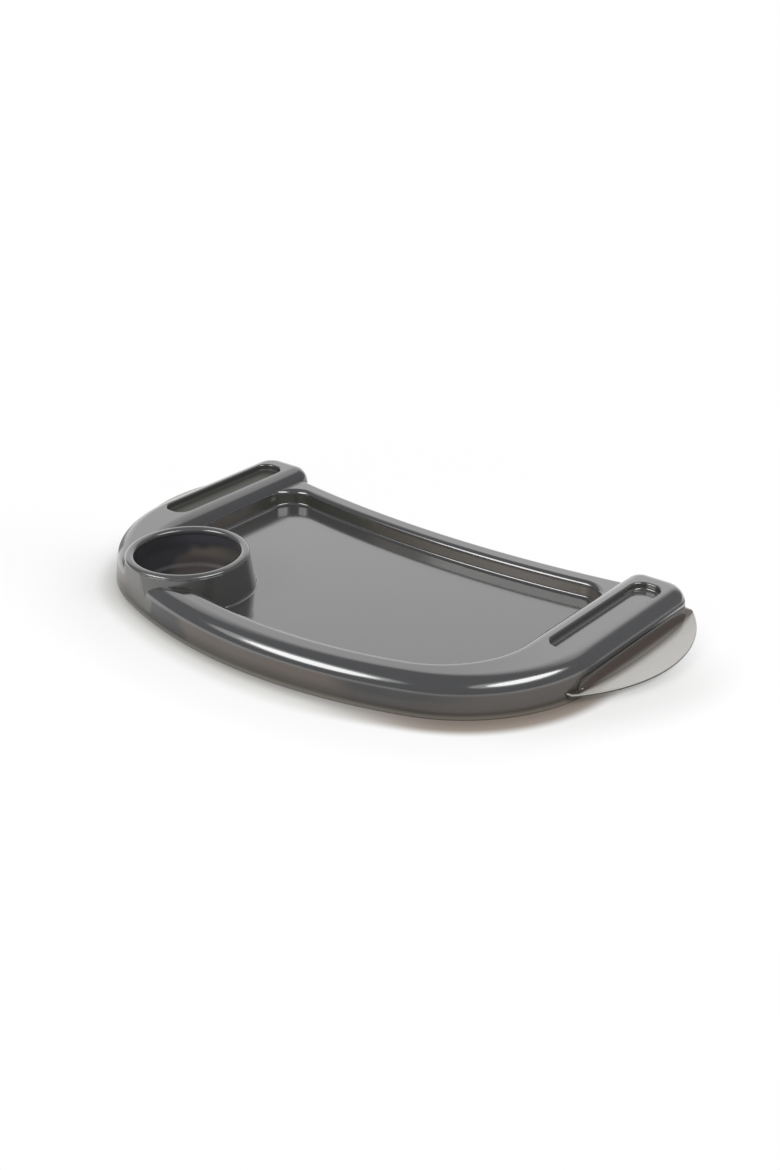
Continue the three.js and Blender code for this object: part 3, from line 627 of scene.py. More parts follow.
class Surface:
    """A material's or a world's node tree, built through one method that adds any node."""

    def __init__(self, owner: bpy.types.Material | bpy.types.World) -> None:
        """Starts an empty tree on its owner."""
        self.owner = owner
        owner.use_nodes = True
        self.tree = owner.node_tree
        self.tree.nodes.clear()

    def node(self, kind: str, settings: dict[str, Any], values: dict[Any, Any], out: Any = 0) -> Signal:
        """Adds a node.

        Args:
            kind: the node's type.
            settings: the node's own settings, set before its sockets.
            values: socket names or numbers, with a value or a Signal for each.
            out: the output that is returned.

        Returns:
            The output as a Signal.
        """
        made = self.tree.nodes.new(kind)
        for key, value in settings.items():
            setattr(made, key, value)
        for key, value in values.items():
            if isinstance(value, Signal):
                self.tree.links.new(value.socket, made.inputs[key])
            else:
                made.inputs[key].default_value = value
        return Signal(self, made.outputs[out])

    def mix(self, factor: Any, first: Any, second: Any, blend: str = "MIX") -> Signal:
        """A colour mix: first where the factor is 0, second blended in where it is 1."""
        settings = {"data_type": "RGBA", "blend_type": blend}
        return self.node("ShaderNodeMix", settings, {0: factor, 6: first, 7: second}, 2)

    def part(self, vector: Signal, axis: str) -> Signal:
        """One coordinate of a vector."""
        return self.node("ShaderNodeSeparateXYZ", {}, {0: vector}, axis)

    def coordinate(self, kind: str) -> Signal:
        """One of the Texture Coordinate node's vectors."""
        return self.node("ShaderNodeTexCoord", {}, {}, kind)

    def place(self) -> tuple[Signal, ...]:
        """X, Y and Z of the point on the object, in metres."""
        return tuple(self.part(self.coordinate("Object"), axis) for axis in "XYZ")

    def tilt(self) -> Signal:
        """How far the surface faces up: 1 on a level top, 0 on an upright wall, -1 underneath."""
        return self.part(self.coordinate("Normal"), "Z")

    def noise(self, scale: float, detail: float, stretch: Sequence[float]) -> Signal:
        """Soft noise from 0 to 1 on the object's own coordinates."""
        where = self.node("ShaderNodeMapping", {}, {0: self.coordinate("Object"), 3: stretch})
        return self.node("ShaderNodeTexNoise", {}, {"Vector": where, "Scale": scale, "Detail": detail})

    def bump(self, height: Signal, strength: float, depth: float) -> Signal:
        """A Bump node's normal."""
        return self.node("ShaderNodeBump", {}, {"Strength": strength, "Distance": depth, "Height": height})

    def ray(self, kind: Ray) -> Signal:
        """1 for a ray of this kind, else 0."""
        return self.node("ShaderNodeLightPath", {}, {}, kind.value)

    def finish(self, values: dict[str, Any]) -> bpy.types.Material:
        """Closes the tree with a Principled shader that has these socket values."""
        self.close(self.node("ShaderNodeBsdfPrincipled", {}, values))
        return self.owner

    def close(self, shader: Signal, kind: str = "ShaderNodeOutputMaterial") -> None:
        """Joins a shader to the tree's output."""
        out = self.tree.nodes.new(kind)
        self.tree.links.new(shader.socket, out.inputs[0])


def surface(name: str) -> Surface:
    """The tree of a new material with this name."""
    return Surface(bpy.data.materials.new(name))


Colour = tuple[float, float, float, float]


def grey(level: float) -> Colour:
    """A grey of this level, where 1 is white."""
    return (level, level, level, 1)


SPECKS: Noise = (420.0, 2.0, EVEN)
SPECKS_FROM: Run = (0.55, 0.8)
SPECKS_DULL = 0.012


def dust(s: Surface) -> Signal:
    """Fine specks that dull a gloss a little."""
    return s.noise(*SPECKS).ramp(*SPECKS_FROM) * SPECKS_DULL


@dataclass(frozen=True)
class SmokeGloss:
    """Smoke-tinted glossy moulding: dark, with painted brown glows where upright walls let the ground's light
    in.

    Both faces of the clear wall mirror the surroundings, so a coat stands for the second reflection. Its
    painted
    light and shade go by place, in metres: a Run is where one fades in along an axis, and a Band where it
    comes and goes.
    """

    name: str = "smoke_gloss"
    flat: Colour = grey(0.03)
    # painted light: the lit copy of the level tops, towards the right and back
    lit_flat: Colour = (0.082, 0.082, 0.084, 1)
    # painted light: the low floor is lighter than the high tops, which stand over the hollow in shade
    floor: Colour = grey(0.052)
    deep: Colour = (0.038, 0.038, 0.039, 1)
    # painted shade: the darkest grey, for dim parts of the skirt and the strip over each wing's recess
    dusk: Colour = grey(0.014)
    # painted light: the brown glow through the skirt, skirt low down and warm higher up
    skirt: Colour = (0.042, 0.035, 0.028, 1)
    warm: Colour = (0.075, 0.056, 0.044, 1)
    # painted shade: the skirt's right part
    far: Colour = (0.034, 0.029, 0.025, 1)
    # painted light: the skirt's left end
    ends: Colour = (0.08, 0.078, 0.075, 1)
    # painted light: the skirt's right end
    right_end: Colour = (0.05, 0.043, 0.036, 1)
    # painted reflection: the pale floor mirrored along the skirt's foot
    foot: Colour = (0.17, 0.16, 0.135, 1)
    # painted light on the collar's wall, and painted shade towards its right
    collar: Colour = (0.084, 0.081, 0.075, 1)
    collar_far: Colour = (0.05, 0.05, 0.048, 1)
    # painted light: the brown glow through the basin's back wall
    inner: Colour = (0.108, 0.095, 0.081, 1)
    # painted shade: the back wall's left part, the pocket walls and the left pocket's floor
    shaded_olive: Colour = (0.046, 0.048, 0.039, 1)
    # painted highlight: the strip along the upper lip of each wing's recess
    lip: Colour = grey(0.42)
    roughness: float = 0.11
    dulled: float = 0.3
    flow_gloss: float = 0.015
    cloud: Noise = (26.0, 1.0, EVEN)
    flow: Noise = (9.0, 3.0, (1.0, 2.2, 4.0))
    ripple: Noise = (34.0, 0.0, EVEN)
    ripple_bump: tuple[float, float] = (0.03, 0.0006)
    ior: float = 1.58
    coat_ior: float = 1.8
    second: float = 0.15
    lying: Run = (0.94, 0.995)
    lying_share: tuple[float, float] = (0.94, 0.1)
    leaning: Run = (0.08, 0.3)
    leaning_cloud: float = 0.12
    # where the skirt's painted glow turns warm
    warm_z: Run = (0.006, 0.013)
    # where the painted shade on the skirt's right part lies
    far_x: Run = (0.07, 0.095)
    far_z: Run = (0.009, 0.013)
    far_cloud: float = 0.01
    # where the painted shade band on the skirt leans and lies
    dim_lean: float = 0.9
    dim_cloud: float = 0.03
    dim_x: Band = (-0.099, -0.084, -0.05, -0.036)
    # where the painted light at the skirt's two ends lies
    ends_x: Run = (0.11, 0.185)
    right_end_x: Run = (0.125, 0.175)
    # where the painted floor reflection at the skirt's foot lies
    foot_z: Run = (0.0014, 0.0044)
    foot_share: float = 0.85
    # where the painted shade over each wing's recess lies
    wing_x: Run = (0.194, 0.197)
    wing_y: Run = (-0.022, -0.005)
    wing_z: Band = (0.0065, 0.0075, 0.017, 0.02)
    # where the collar's painted light and shade lie
    collar_reach: Run = (0.049, 0.051)
    collar_z: Run = (0.004, 0.008)
    collar_slope: float = 0.6
    collar_near: Run = (-0.08, -0.05)
    collar_far_x: Run = (-0.085, -0.058)
    # where the back wall's painted glow and shade lie
    inner_x: Run = (-0.1, 0.0)
    inner_y: Run = (0.03, 0.08)
    inner_cloud: float = 0.05
    # where the pockets' painted shade lies
    pocket_x: Run = (0.158, 0.162)
    pocket_z: Band = (0.0192, 0.0204, 0.0235, 0.0255)
    # where the painted highlight on the recess lip lies
    lip_x: Run = (0.196, 0.197)
    lip_y: Run = (0.06, 0.12)
    lip_z: Band = (0.0126, 0.0134, 0.0158, 0.0168)
    # where the painted light of the low floor gives way to the tops
    flat_z: Run = (0.008, 0.016)
    # where the level tops turn to their painted lit copy
    lit_flat_slope: float = 0.6
    lit_flat_across: Run = (0.06, 0.2)

    def skirt_tint(self, s: Surface, cloud: Signal) -> Signal:
        """Painted light and shade on the skirt by place: warm in front, dim at its left, paler at its foot
        and both ends.

        Args:
            s: the material's tree.
            cloud: soft noise about 0 that breaks the tints' edges.

        Returns:
            The colour.
        """
        x, _, z = s.place()
        # painted glow through the skirt, warmer higher up
        face = s.mix(z.ramp(*self.warm_z), self.skirt, self.warm)
        # painted shade on the skirt's right part, darkest higher up
        far = s.mix((z + cloud * self.far_cloud).ramp(*self.far_z), self.far, self.dusk)
        face = s.mix(x.ramp(*self.far_x), face, far)
        # painted shade on a slanting band of skirt left of the middle
        slant = x + z * self.dim_lean + cloud * self.dim_cloud
        face = s.mix(slant.band(*self.dim_x), face, self.dusk)
        # painted light at the skirt's left end
        face = s.mix((0 - x).ramp(*self.ends_x), face, self.ends)
        # painted light at the skirt's right end
        face = s.mix(x.ramp(*self.right_end_x), face, self.right_end)
        # painted reflection of the floor, lighter towards the foot
        return s.mix((1 - z.ramp(*self.foot_z)) * self.foot_share, face, self.foot)

    def wall_tint(self, s: Surface, cloud: Signal) -> Signal:
        """Painted light and shade on an upright wall by place: the skirt's, the basin's back wall's or the
        collar's.

        Args:
            s: the material's tree.
            cloud: soft noise about 0 that breaks the tints' edges.

        Returns:
            The colour.
        """
        x, y, z = s.place()
        # painted glow through the basin's back wall, with painted shade at its left
        inner = s.mix((x + cloud * self.inner_cloud).ramp(*self.inner_x), self.shaded_olive, self.inner)
        wall = s.mix(y.ramp(*self.inner_y), self.skirt_tint(s, cloud), inner)
        # painted light and shade on the collar's wall
        around = 1 - reach_of(x - CUP[0] * MM, y - CUP[1] * MM).ramp(*self.collar_reach)
        around = around * z.ramp(*self.collar_z) * (x - y * self.collar_slope).ramp(*self.collar_near)
        wall = s.mix(around, wall, s.mix(x.ramp(*self.collar_far_x), self.collar, self.collar_far))
        # painted shade on the pocket walls
        pocket = x.distance().ramp(*self.pocket_x) * z.ramp(*self.pocket_z[:2])
        return s.mix(pocket, wall, self.shaded_olive)

    def build(self) -> bpy.types.Material:
        """The material: colour by tilt, painted light and shade by place, faint flow marks and fine dust in
        the gloss.

        Three places have looks of their own: the strip of skirt over a wing's recess and the left pocket's
        floor carry painted shade and are dull, and a thin strip at the back of both ends carries a painted
        highlight.

        Returns:
            The material.
        """
        s = surface(self.name)
        x, y, z = s.place()
        cloud = s.noise(*self.cloud) - 0.5
        flow = s.noise(*self.flow)
        upright = 1 - (s.tilt().distance() + cloud * self.leaning_cloud).ramp(*self.leaning)
        out = x.distance()
        # painted shade on the skirt strip over each wing's recess, which is also dulled
        shaded = out.ramp(*self.wing_x) * z.band(*self.wing_z) * y.ramp(*self.wing_y)
        # painted shade on the left pocket's floor, which is also dulled
        sunk = (0 - x).ramp(*self.pocket_x) * z.band(*self.pocket_z)
        # painted highlight on the recess lip at the back of both ends
        lip = z.band(*self.lip_z) * out.ramp(*self.lip_x) * y.ramp(*self.lip_y)
        tint = s.mix(upright, self.deep, self.wall_tint(s, cloud))
        tint = s.mix(lip, s.mix(shaded, tint, self.dusk), self.lip)
        # painted light: level tops lighter towards the right and back
        flat = s.mix((x + y * self.lit_flat_slope).ramp(*self.lit_flat_across), self.flat, self.lit_flat)
        # painted light on the low floor; the left pocket's floor takes painted shade
        level = s.mix(sunk, s.mix(z.ramp(*self.flat_z), self.floor, flat), self.shaded_olive)
        share = s.tilt().ramp(*self.lying) * (self.lying_share[0] + flow * self.lying_share[1])
        gloss = self.roughness + dust(s) + flow * self.flow_gloss
        return s.finish(
            {
                "Base Color": s.mix(share, tint, level),
                "Roughness": gloss + (shaded + sunk) * self.dulled,
                "IOR": self.ior,
                "Coat Weight": (1 - upright * (1 - self.second)) * (1 - shaded) * (1 - sunk),
                "Coat Roughness": self.roughness,
                "Coat IOR": self.coat_ior,
                "Normal": s.bump(s.noise(*self.ripple), *self.ripple_bump),
            }
        )


@dataclass(frozen=True)
class LinerGloss:
    """The cup liner: the same smoke plastic, with painted blue-black shade in its depth and a painted brown
    glow where light comes through.

    A cup's point has an "across": its distance from the axis along a level direction, over the cup's radius,
    so that it runs from -1 at the left to 1 at the right.
    """

    name: str = "liner_gloss"
    # painted shade (deep, dusk), painted brown glow (brown, moss), painted sheen under the rim, painted
    # highlight on the lip
    deep: Colour = (0.03, 0.029, 0.034, 1)
    dusk: Colour = (0.04, 0.04, 0.044, 1)
    brown: Colour = (0.108, 0.088, 0.077, 1)
    moss: Colour = (0.08, 0.079, 0.068, 1)
    sheen: Colour = (0.058, 0.056, 0.066, 1)
    lip: Colour = (0.06, 0.06, 0.061, 1)
    roughness: float = 0.12
    satin: float = 0.5
    ior: float = 1.58
    cloud: Noise = (48.0, 1.0, EVEN)
    radius: float = 0.039
    direction: tuple[float, float] = (0.773, 0.634)
    # where the painted glow, shade, sheen and lip highlight lie
    edge_z: float = 0.009
    edge_rise: float = 0.014
    edge_across: Run = (-0.3, 0.5)
    edge_run: Run = (-0.004, 0.004)
    edge_cloud: float = 0.03
    glow_across: Run = (-0.62, -0.2)
    glow_cloud: float = 0.5
    dusk_across: Run = (-0.6, 0.6)
    sheen_across: Run = (-0.8, 0.2)
    sheen_z: Run = (0.017, 0.027)
    moss_across: Run = (0.35, 0.85)
    foot_z: Run = (0.0085, 0.014)
    foot_share: float = 0.5
    lip_z: Run = (0.029, 0.0312)
    satin_z: Run = (0.014, 0.024)
    coat_z: Run = (0.02, 0.03)

    def build(self) -> bpy.types.Material:
        """The material: painted light and shade by place on the cup, with a gloss lip and wall and a satin
        bottom.

        Returns:
            The material.
        """
        s = surface(self.name)
        x, y, z = s.place()
        across = (x - CUP[0] * MM) * self.direction[0] + (y - CUP[1] * MM) * self.direction[1]
        across = across * (1 / self.radius)
        cloud = s.noise(*self.cloud) - 0.5
        # painted glow of light through the wall, below an edge that rises towards the right
        edge = self.edge_z + across.ramp(*self.edge_across) * self.edge_rise + cloud * self.edge_cloud
        lit = (across + cloud * self.glow_cloud).ramp(*self.glow_across)
        lit = (1 - (z - edge).ramp(*self.edge_run)) * lit
        # painted shade, lighter towards the right
        shade = s.mix(across.ramp(*self.dusk_across), self.deep, self.dusk)
        # painted sheen under the rim at the left
        shade = s.mix(z.ramp(*self.sheen_z) * across.ramp(*self.sheen_across), shade, self.sheen)
        glow = s.mix(across.ramp(*self.moss_across), self.brown, self.moss)
        # painted shade: darker towards the bottom
        glow = s.mix((1 - z.ramp(*self.foot_z)) * self.foot_share, glow, self.deep)
        return s.finish(
            {
                # painted highlight on the lip
                "Base Color": s.mix(z.ramp(*self.lip_z), s.mix(lit, shade, glow), self.lip),
                "Roughness": self.roughness + (1 - z.ramp(*self.satin_z)) * self.satin + dust(s),
                "IOR": self.ior,
                "Coat Weight": z.ramp(*self.coat_z),
                "Coat Roughness": self.roughness,
                "Coat IOR": self.ior,
            }
        )


@dataclass(frozen=True)
class ClearSmoke:
    """The wings' thin clear smoke plastic: painted pale where the ground shows through, brown at the thick
    root with painted shade.
    """

    name: str = "clear_smoke"
    # painted light: the pale of the ground seen through the thin sheet, varied at random
    body: Colour = (0.4, 0.388, 0.368, 1)
    worn: Colour = (0.43, 0.415, 0.395, 1)
    rim: Colour = (0.06, 0.055, 0.05, 1)
    # brown of the thick root, darkened with painted shade from the wall beside it
    root: Colour = (0.055, 0.042, 0.035, 1)
    line: Colour = (0.31, 0.305, 0.29, 1)
    roughness: float = 0.08
    wear_gloss: float = 0.06
    wear: Noise = (60.0, 4.0, (1.0, 3.0, 1.0))
    ior: float = 1.49
    wall_x: float = 0.2015
    centre: tuple[float, float] = (0.11641, 0.0476)
    radius: float = 0.11259
    spare: float = 0.0006
    thin_share: Run = (0.03, 0.48)
    line_inset: Run = (0.0016, 0.0011)
    line_y: Run = (-0.02, 0.02)
    rim_tilt: Run = (0.3, 0.8)

    def build(self) -> bpy.types.Material:
        """The material: share s = (x - wall) / (edge - wall) takes the sheet from root to pale.

        The edge is the grip's circle, edge = cx + sqrt(r² - (y - cy)²). A pale line runs along its front.

        Returns:
            The material.
        """
        s = surface(self.name)
        x, y, _ = s.place()
        out, run = x.distance(), y - self.centre[1]
        span = (self.radius**2 - run * run) ** 0.5 + (self.centre[0] - self.wall_x + self.spare)
        thin = ((out - self.wall_x) * span**-1).ramp(*self.thin_share)
        wear = s.noise(*self.wear)
        # from the root's brown and painted shade out to the painted pale of the ground
        sheet = s.mix(thin, self.root, s.mix(wear, self.body, self.worn))
        edge = reach_of(out - self.centre[0], run).ramp(*(self.radius - inset for inset in self.line_inset))
        sheet = s.mix(edge * (1 - y.ramp(*self.line_y)), sheet, self.line)
        colour = s.mix(s.tilt().distance().ramp(*self.rim_tilt), self.rim, sheet)
        gloss = self.roughness + wear * self.wear_gloss
        return s.finish({"Base Color": colour, "Roughness": gloss, "IOR": self.ior})


@dataclass(frozen=True)
class MattePlastic:
    """Fine matte nylon or soft rubber with a small grain."""

    name: str
    colour: Colour
    roughness: float
    grain: float = 900.0
    grain_gloss: float = 0.12
    grain_bump: tuple[float, float] = (0.25, 0.0001)
    mottle: Noise = (40.0, 3.0, EVEN)
    mottling: float = 1.35

    def build(self) -> bpy.types.Material:
        """The material: even colour with a spark-eroded grain and slight mottling.

        Returns:
            The material.
        """
        s = surface(self.name)
        light = (*(c * self.mottling for c in self.colour[:3]), 1)
        grain = s.noise(self.grain, 2.0, EVEN)
        return s.finish(
            {
                "Base Color": s.mix(s.noise(*self.mottle), self.colour, light),
                "Roughness": self.roughness + grain * self.grain_gloss,
                "Normal": s.bump(grain, *self.grain_bump),
            }
        )


@dataclass(frozen=True)
class PlatedSteel:
    """Zinc-plated or drawn spring steel."""

    name: str
    colour: Colour = (0.62, 0.62, 0.64, 1)
    roughness: float = 0.28
    stained: Colour = (0.5, 0.49, 0.47, 1)
    stain: Noise = (300.0, 3.0, EVEN)
    stain_from: Run = (0.4, 0.8)
    marks: Noise = (1400.0, 2.0, (1.0, 1.0, 6.0))
    marks_gloss: float = 0.15

    def build(self) -> bpy.types.Material:
        """The material: metal with fine turning marks and a faint stain.

        Returns:
            The material.
        """
        s = surface(self.name)
        gloss = self.roughness + s.noise(*self.marks) * self.marks_gloss
        colour = s.mix(s.noise(*self.stain).ramp(*self.stain_from), self.colour, self.stained)
        return s.finish({"Base Color": colour, "Metallic": 1.0, "Roughness": gloss})


class Finish(Enum):
    """The finishes of the tray's pieces, each with the maker of its material."""

    SMOKE = SmokeGloss()
    LINER = LinerGloss()
    WING = ClearSmoke()
    NYLON = MattePlastic("guide_nylon", (0.035, 0.035, 0.037, 1), 0.5)
    RUBBER = MattePlastic("pad_rubber", (0.012, 0.012, 0.013, 1), 0.8, 600.0)
    ZINC = PlatedSteel("zinc_screw")
    SPRING = PlatedSteel("spring_wire", (0.56, 0.56, 0.58, 1), 0.22)

    @cache
    def material(self) -> bpy.types.Material:
        """The finish's material, made when it is first asked for."""
        return self.value.build()


# ---------------------------------------------------------------- the tray's pieces


def dressed(piece: bpy.types.Object, finish: Finish) -> None:
    """Gives a piece its finish, as its only material.

    Args:
        piece: the piece.
        finish: its finish.
    """
    piece.data.materials.clear()
    piece.data.materials.append(finish.material())


@dataclass
class Shell:
    """The moulded tray with its basin, ribs, pockets, collar, bosses and openings, in millimetres."""

    plan: TrayPlan
    pocket_x: float = 176.45
    pocket_y: float = 47.8
    pocket_width: float = 21.7
    pocket_length: float = 115.0
    pocket_corner: float = 9.0
    pocket_floor: float = 21.0
    pocket_edge: float = 1.5
    pocket_foot: float = 1.8
    pocket_steps: tuple[int, int] = (8, 12)
    well: float = 40.8
    collar_top_z: float = 31.0
    collar_foot_z: float = 1.0
    collar_top: float = 44.2
    collar_foot: float = 48.0
    collar_edge: float = 0.9
    collar_steps: int = 6
    flare_radius: float = 2.2
    flare_least: float = 0.02
    flare_sunk: float = 0.3
    flare_lap: float = 1.5
    flare_turns: tuple[float, float] = (-0.66, 2.78)
    flare_power: float = 0.7
    flare_round: float = 0.97 * QUARTER
    flare_steps: tuple[int, int] = (120, 12)
    recess_x: tuple[float, float, float] = (198.3, 199.3, 210.3)
    recess_y: tuple[float, float] = (-29.0, 126.5)
    recess_z: tuple[float, float] = (7.3, 14.6)
    recess_edge: float = 0.7
    recess_steps: int = 7
    backing: Box = ((195.9, -28.6, 7.4), (201.5, 126.0, 17.0))
    slot: Box = ((188.2, -29.0, 4.6), (207.5, 126.2, 7.4))
    mouth: Box = ((155.0, 114.3, -6.0), (177.0, 132.0, 12.6))
    boss: float = 3.6
    boss_sides: int = 32
    bore: float = 1.6
    bore_sides: int = 24
    bore_top: float = 12.2
    screws: tuple[tuple[float, float, float], ...] = (
        (166.0, -41.4, 4.7),
        (190.0, 14.59, 7.3),
        (190.0, 80.61, 7.3),
        (183.0, 113.0, 4.7),
    )
    spare: float = 6.0

    def rim(self, wall: float, lowest: float) -> bpy.types.Object:
        """The horseshoe of rim and ribs: the body's loft less the loft of the opening between the ribs.

        The outer skin's foot is rounded: its rows stand at inset r(1 - sin a) and height r(1 - cos a).

        Args:
            wall: 0 for the outer skin, or how far inside it.
            lowest: the height of the loft's foot.

        Returns:
            The solid.
        """
        p = self.plan
        z = p.heights(wall, lowest)
        rows = p.body(p.inset(z, wall))
        if wall == 0:
            inset, rise = fillet(p.foot_round, np.linspace(0, QUARTER, p.foot_steps))
            rows = np.concatenate([p.body(inset), rows[1:]])
            z = np.concatenate([lowest + rise, z[1:]])
        low = p.heights(wall, lowest - self.spare)
        rings = np.concatenate([p.gap(p.top_inset - p.inset(low, wall)), p.gap(np.zeros(1))])
        gap = solid("gap", rings, np.append(low, p.rim_z + self.spare))
        return worked(solid("rim", rows, z), Join.CUT, [gap])

    def low(self, wall: float, lowest: float) -> bpy.types.Object:
        """The low body with the basin let into it.

        The child's side edge is r(1 - cos a) in and r sin a up; the basin's foot is f(1 - sin a) in and
        f(1 - cos a) up; its back lip is l cos a in and l sin a up.

        Args:
            wall: 0 for the outer skin, or how far inside it.
            lowest: the height of the loft's foot.

        Returns:
            The solid.
        """
        p = self.plan
        radius = p.belly_edge - wall
        angle = np.linspace(0, QUARTER, p.edge_steps + 1)
        belly = np.concatenate([[wall], wall + p.belly_draft + radius * (1 - np.cos(angle))])
        z = np.concatenate([[lowest], p.back_rim_z - p.belly_edge + radius * np.sin(angle)])
        body = solid("low", p.low(p.low_inset + wall, belly), z)
        outer, lip, lip_z = wall == 0, p.back_lip, p.back_rim_z - p.back_lip
        turn = np.linspace(0, QUARTER, p.basin_steps) if outer else np.zeros(1)
        foot_in, foot_up = fillet(p.basin_foot if outer else 0.0, turn)
        lap = p.lap if outer else p.inner_lap
        heights = np.concatenate([p.floor_z - wall + foot_up, [p.wall_top, lip_z]])
        side = p.top_inset - p.inset(heights, wall) - lap
        back = lip + p.back_draft * np.clip((p.wall_top - heights) / p.back_draft_run, 0, 1)
        side[: len(turn)] += foot_in
        back[: len(turn)] += foot_in
        if outer:
            rise = lip_z + lip * np.sin(turn[1:])
            heights = np.concatenate([heights, rise])
            side = np.concatenate([side, p.top_inset - p.inset(rise, 0) - lap])
            back = np.concatenate([back, lip * np.cos(turn[1:])])
        heights = np.append(heights, p.back_rim_z + self.spare / 2)
        side, back = (np.append(v, v[-1]) for v in (side, back))
        room = solid("basin", p.basin(side, back - wall, p.basin_back_corner + wall), heights)
        return worked(body, Join.CUT, [room])

    def pocket(self, wall: float) -> bpy.types.Object:
        """A rib pocket, or the plain block that its walls are left from.

        The pocket grows by f(sin a - 1) over its foot and by e(1 - cos a) over its edge.

        Args:
            wall: 0 for the pocket itself, or its walls' thickness.

        Returns:
            The solid on the right side.
        """
        top, (steps, corner_steps) = self.plan.rim_z, self.pocket_steps
        if wall:
            grow, z = np.array([wall, wall]), [self.pocket_floor - wall, top + self.spare]
        else:
            turn = np.linspace(0, QUARTER, steps)
            inward, rise = fillet(self.pocket_foot, turn)
            drop, outward = fillet(self.pocket_edge, turn)
            grow = np.concatenate([-inward, outward, [self.pocket_edge]])
            z = np.concatenate([self.pocket_floor + rise, top - drop, [top + self.spare]])
        width, length = self.pocket_width + 2 * grow, self.pocket_length + 2 * grow
        corner = self.pocket_corner + grow
        return solid("pocket", rounded(self.pocket_x, self.pocket_y, width, length, corner, corner_steps), z)

    def collar(self) -> bpy.types.Object:
        """The cup well's collar: a taper with a small round top edge, cut flush with the tray's outline.

        The edge stands e(1 - cos a) in and e(1 - sin a) below the top.

        Returns:
            The solid.
        """
        drop, inward = fillet(self.collar_edge, np.linspace(0, QUARTER, self.collar_steps))
        edge = np.column_stack([self.collar_top - inward, self.collar_top_z - drop])
        cone = turned("collar", CUP, [(self.collar_foot, self.collar_foot_z), *edge])
        insets = np.array([0.0, self.plan.draft, self.plan.draft])
        heights = [0, self.plan.wall_top, self.collar_top_z + self.spare]
        return worked(cone, Join.KEEP_SHARED, [solid("outline", self.plan.body(insets), heights)])

    def flare(self) -> bpy.types.Object:
        """The round where the collar stands on the basin's floor, which swells and fades along its way.

        A share t of the way along, its radius is f = radius·sin(pi·t)^0.7, and its rows stand at
        collar + f(1 - sin a) and floor + f(1 - cos a).

        Returns:
            The solid.
        """
        around = np.linspace(*self.flare_turns, self.flare_steps[0])
        share = (around - around[0]) / (around[-1] - around[0])
        size = self.flare_least + self.flare_radius * np.sin(np.pi * share) ** self.flare_power
        swell, rise = fillet(size, np.linspace(0, self.flare_round, self.flare_steps[1])[:, None])
        z = self.plan.floor_z + rise
        slope = (self.collar_foot - self.collar_top) / (self.collar_top_z - self.collar_foot_z)
        out = self.collar_foot - slope * (z - self.collar_foot_z) + swell
        z = np.concatenate([np.full((1, len(around)), self.plan.floor_z - self.flare_sunk), z])
        out = np.concatenate([out[:1], out])[..., None]
        spoke = np.stack([np.cos(around), np.sin(around)], -1)
        ring = CUP + out * spoke
        back = np.broadcast_to(CUP + (self.collar_top - self.flare_lap) * spoke[::-1], ring.shape)
        return solid("flare", np.concatenate([ring, back], 1), np.concatenate([z, z[:, ::-1]], 1))

    def recess(self) -> bpy.types.Object:
        """The finger recess over a wing: a section in XZ with a round upper edge, carried along Y.

        Returns:
            The solid on the right side.
        """
        (x, round_x, out), (low, high), edge = self.recess_x, self.recess_z, self.recess_edge
        lip = arc(round_x, high + edge, edge, -QUARTER, 0, self.recess_steps)[0]
        section = np.array([(x, low), (x, high), *lip, (out, high + edge), (out, low)])
        points = np.array([(a, y, b) for y in self.recess_y for a, b in section]) * MM
        made = meshed("recess", points, skin(2, len(section)))
        upright(made)
        return made

    def build(self) -> bpy.types.Object:
        """The whole shell: outer solid less the inner room, the well, the pockets, slots and bores.

        Returns:
            The shell as one closed mesh.
        """
        wall, top, spare = self.plan.wall, self.plan.rim_z, self.spare
        outside = worked(self.rim(0, 0), Join.ADD, [self.low(0, 0), self.collar()])
        outside = worked(outside, Join.ADD, [self.flare()])
        keep = [self.pocket(wall), block("backing", *self.backing)]
        for x, y, z in self.screws:
            keep.append(turned("boss", (x, y), [(self.boss, z), (self.boss, top)], self.boss_sides))
        room = worked(self.rim(wall, -spare), Join.ADD, [self.low(wall, -spare)])
        room = worked(room, Join.CUT, [self.collar(), *keep, *[reflected(k) for k in keep]])
        cuts = [self.pocket(0), block("slot", *self.slot), self.recess(), block("mouth", *self.mouth)]
        for x, y, z in self.screws:
            profile = [(self.bore, z - spare), (self.bore, self.bore_top)]
            cuts.append(turned("bore", (x, y), profile, self.bore_sides))
        cuts += [reflected(c) for c in cuts]
        well = turned("well", CUP, [(self.well, -spare), (self.well, self.collar_top_z + spare)])
        shell = worked(outside, Join.CUT, [room, well, *cuts])
        shell.name = "moulded_tray"
        smoothed(shell)
        return shell

    def dress(self, piece: bpy.types.Object) -> None:
        """Puts the shell in smoke gloss and on the tray's body."""
        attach(piece, "tray")
        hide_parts("tray_shell")
        dressed(piece, Finish.SMOKE)


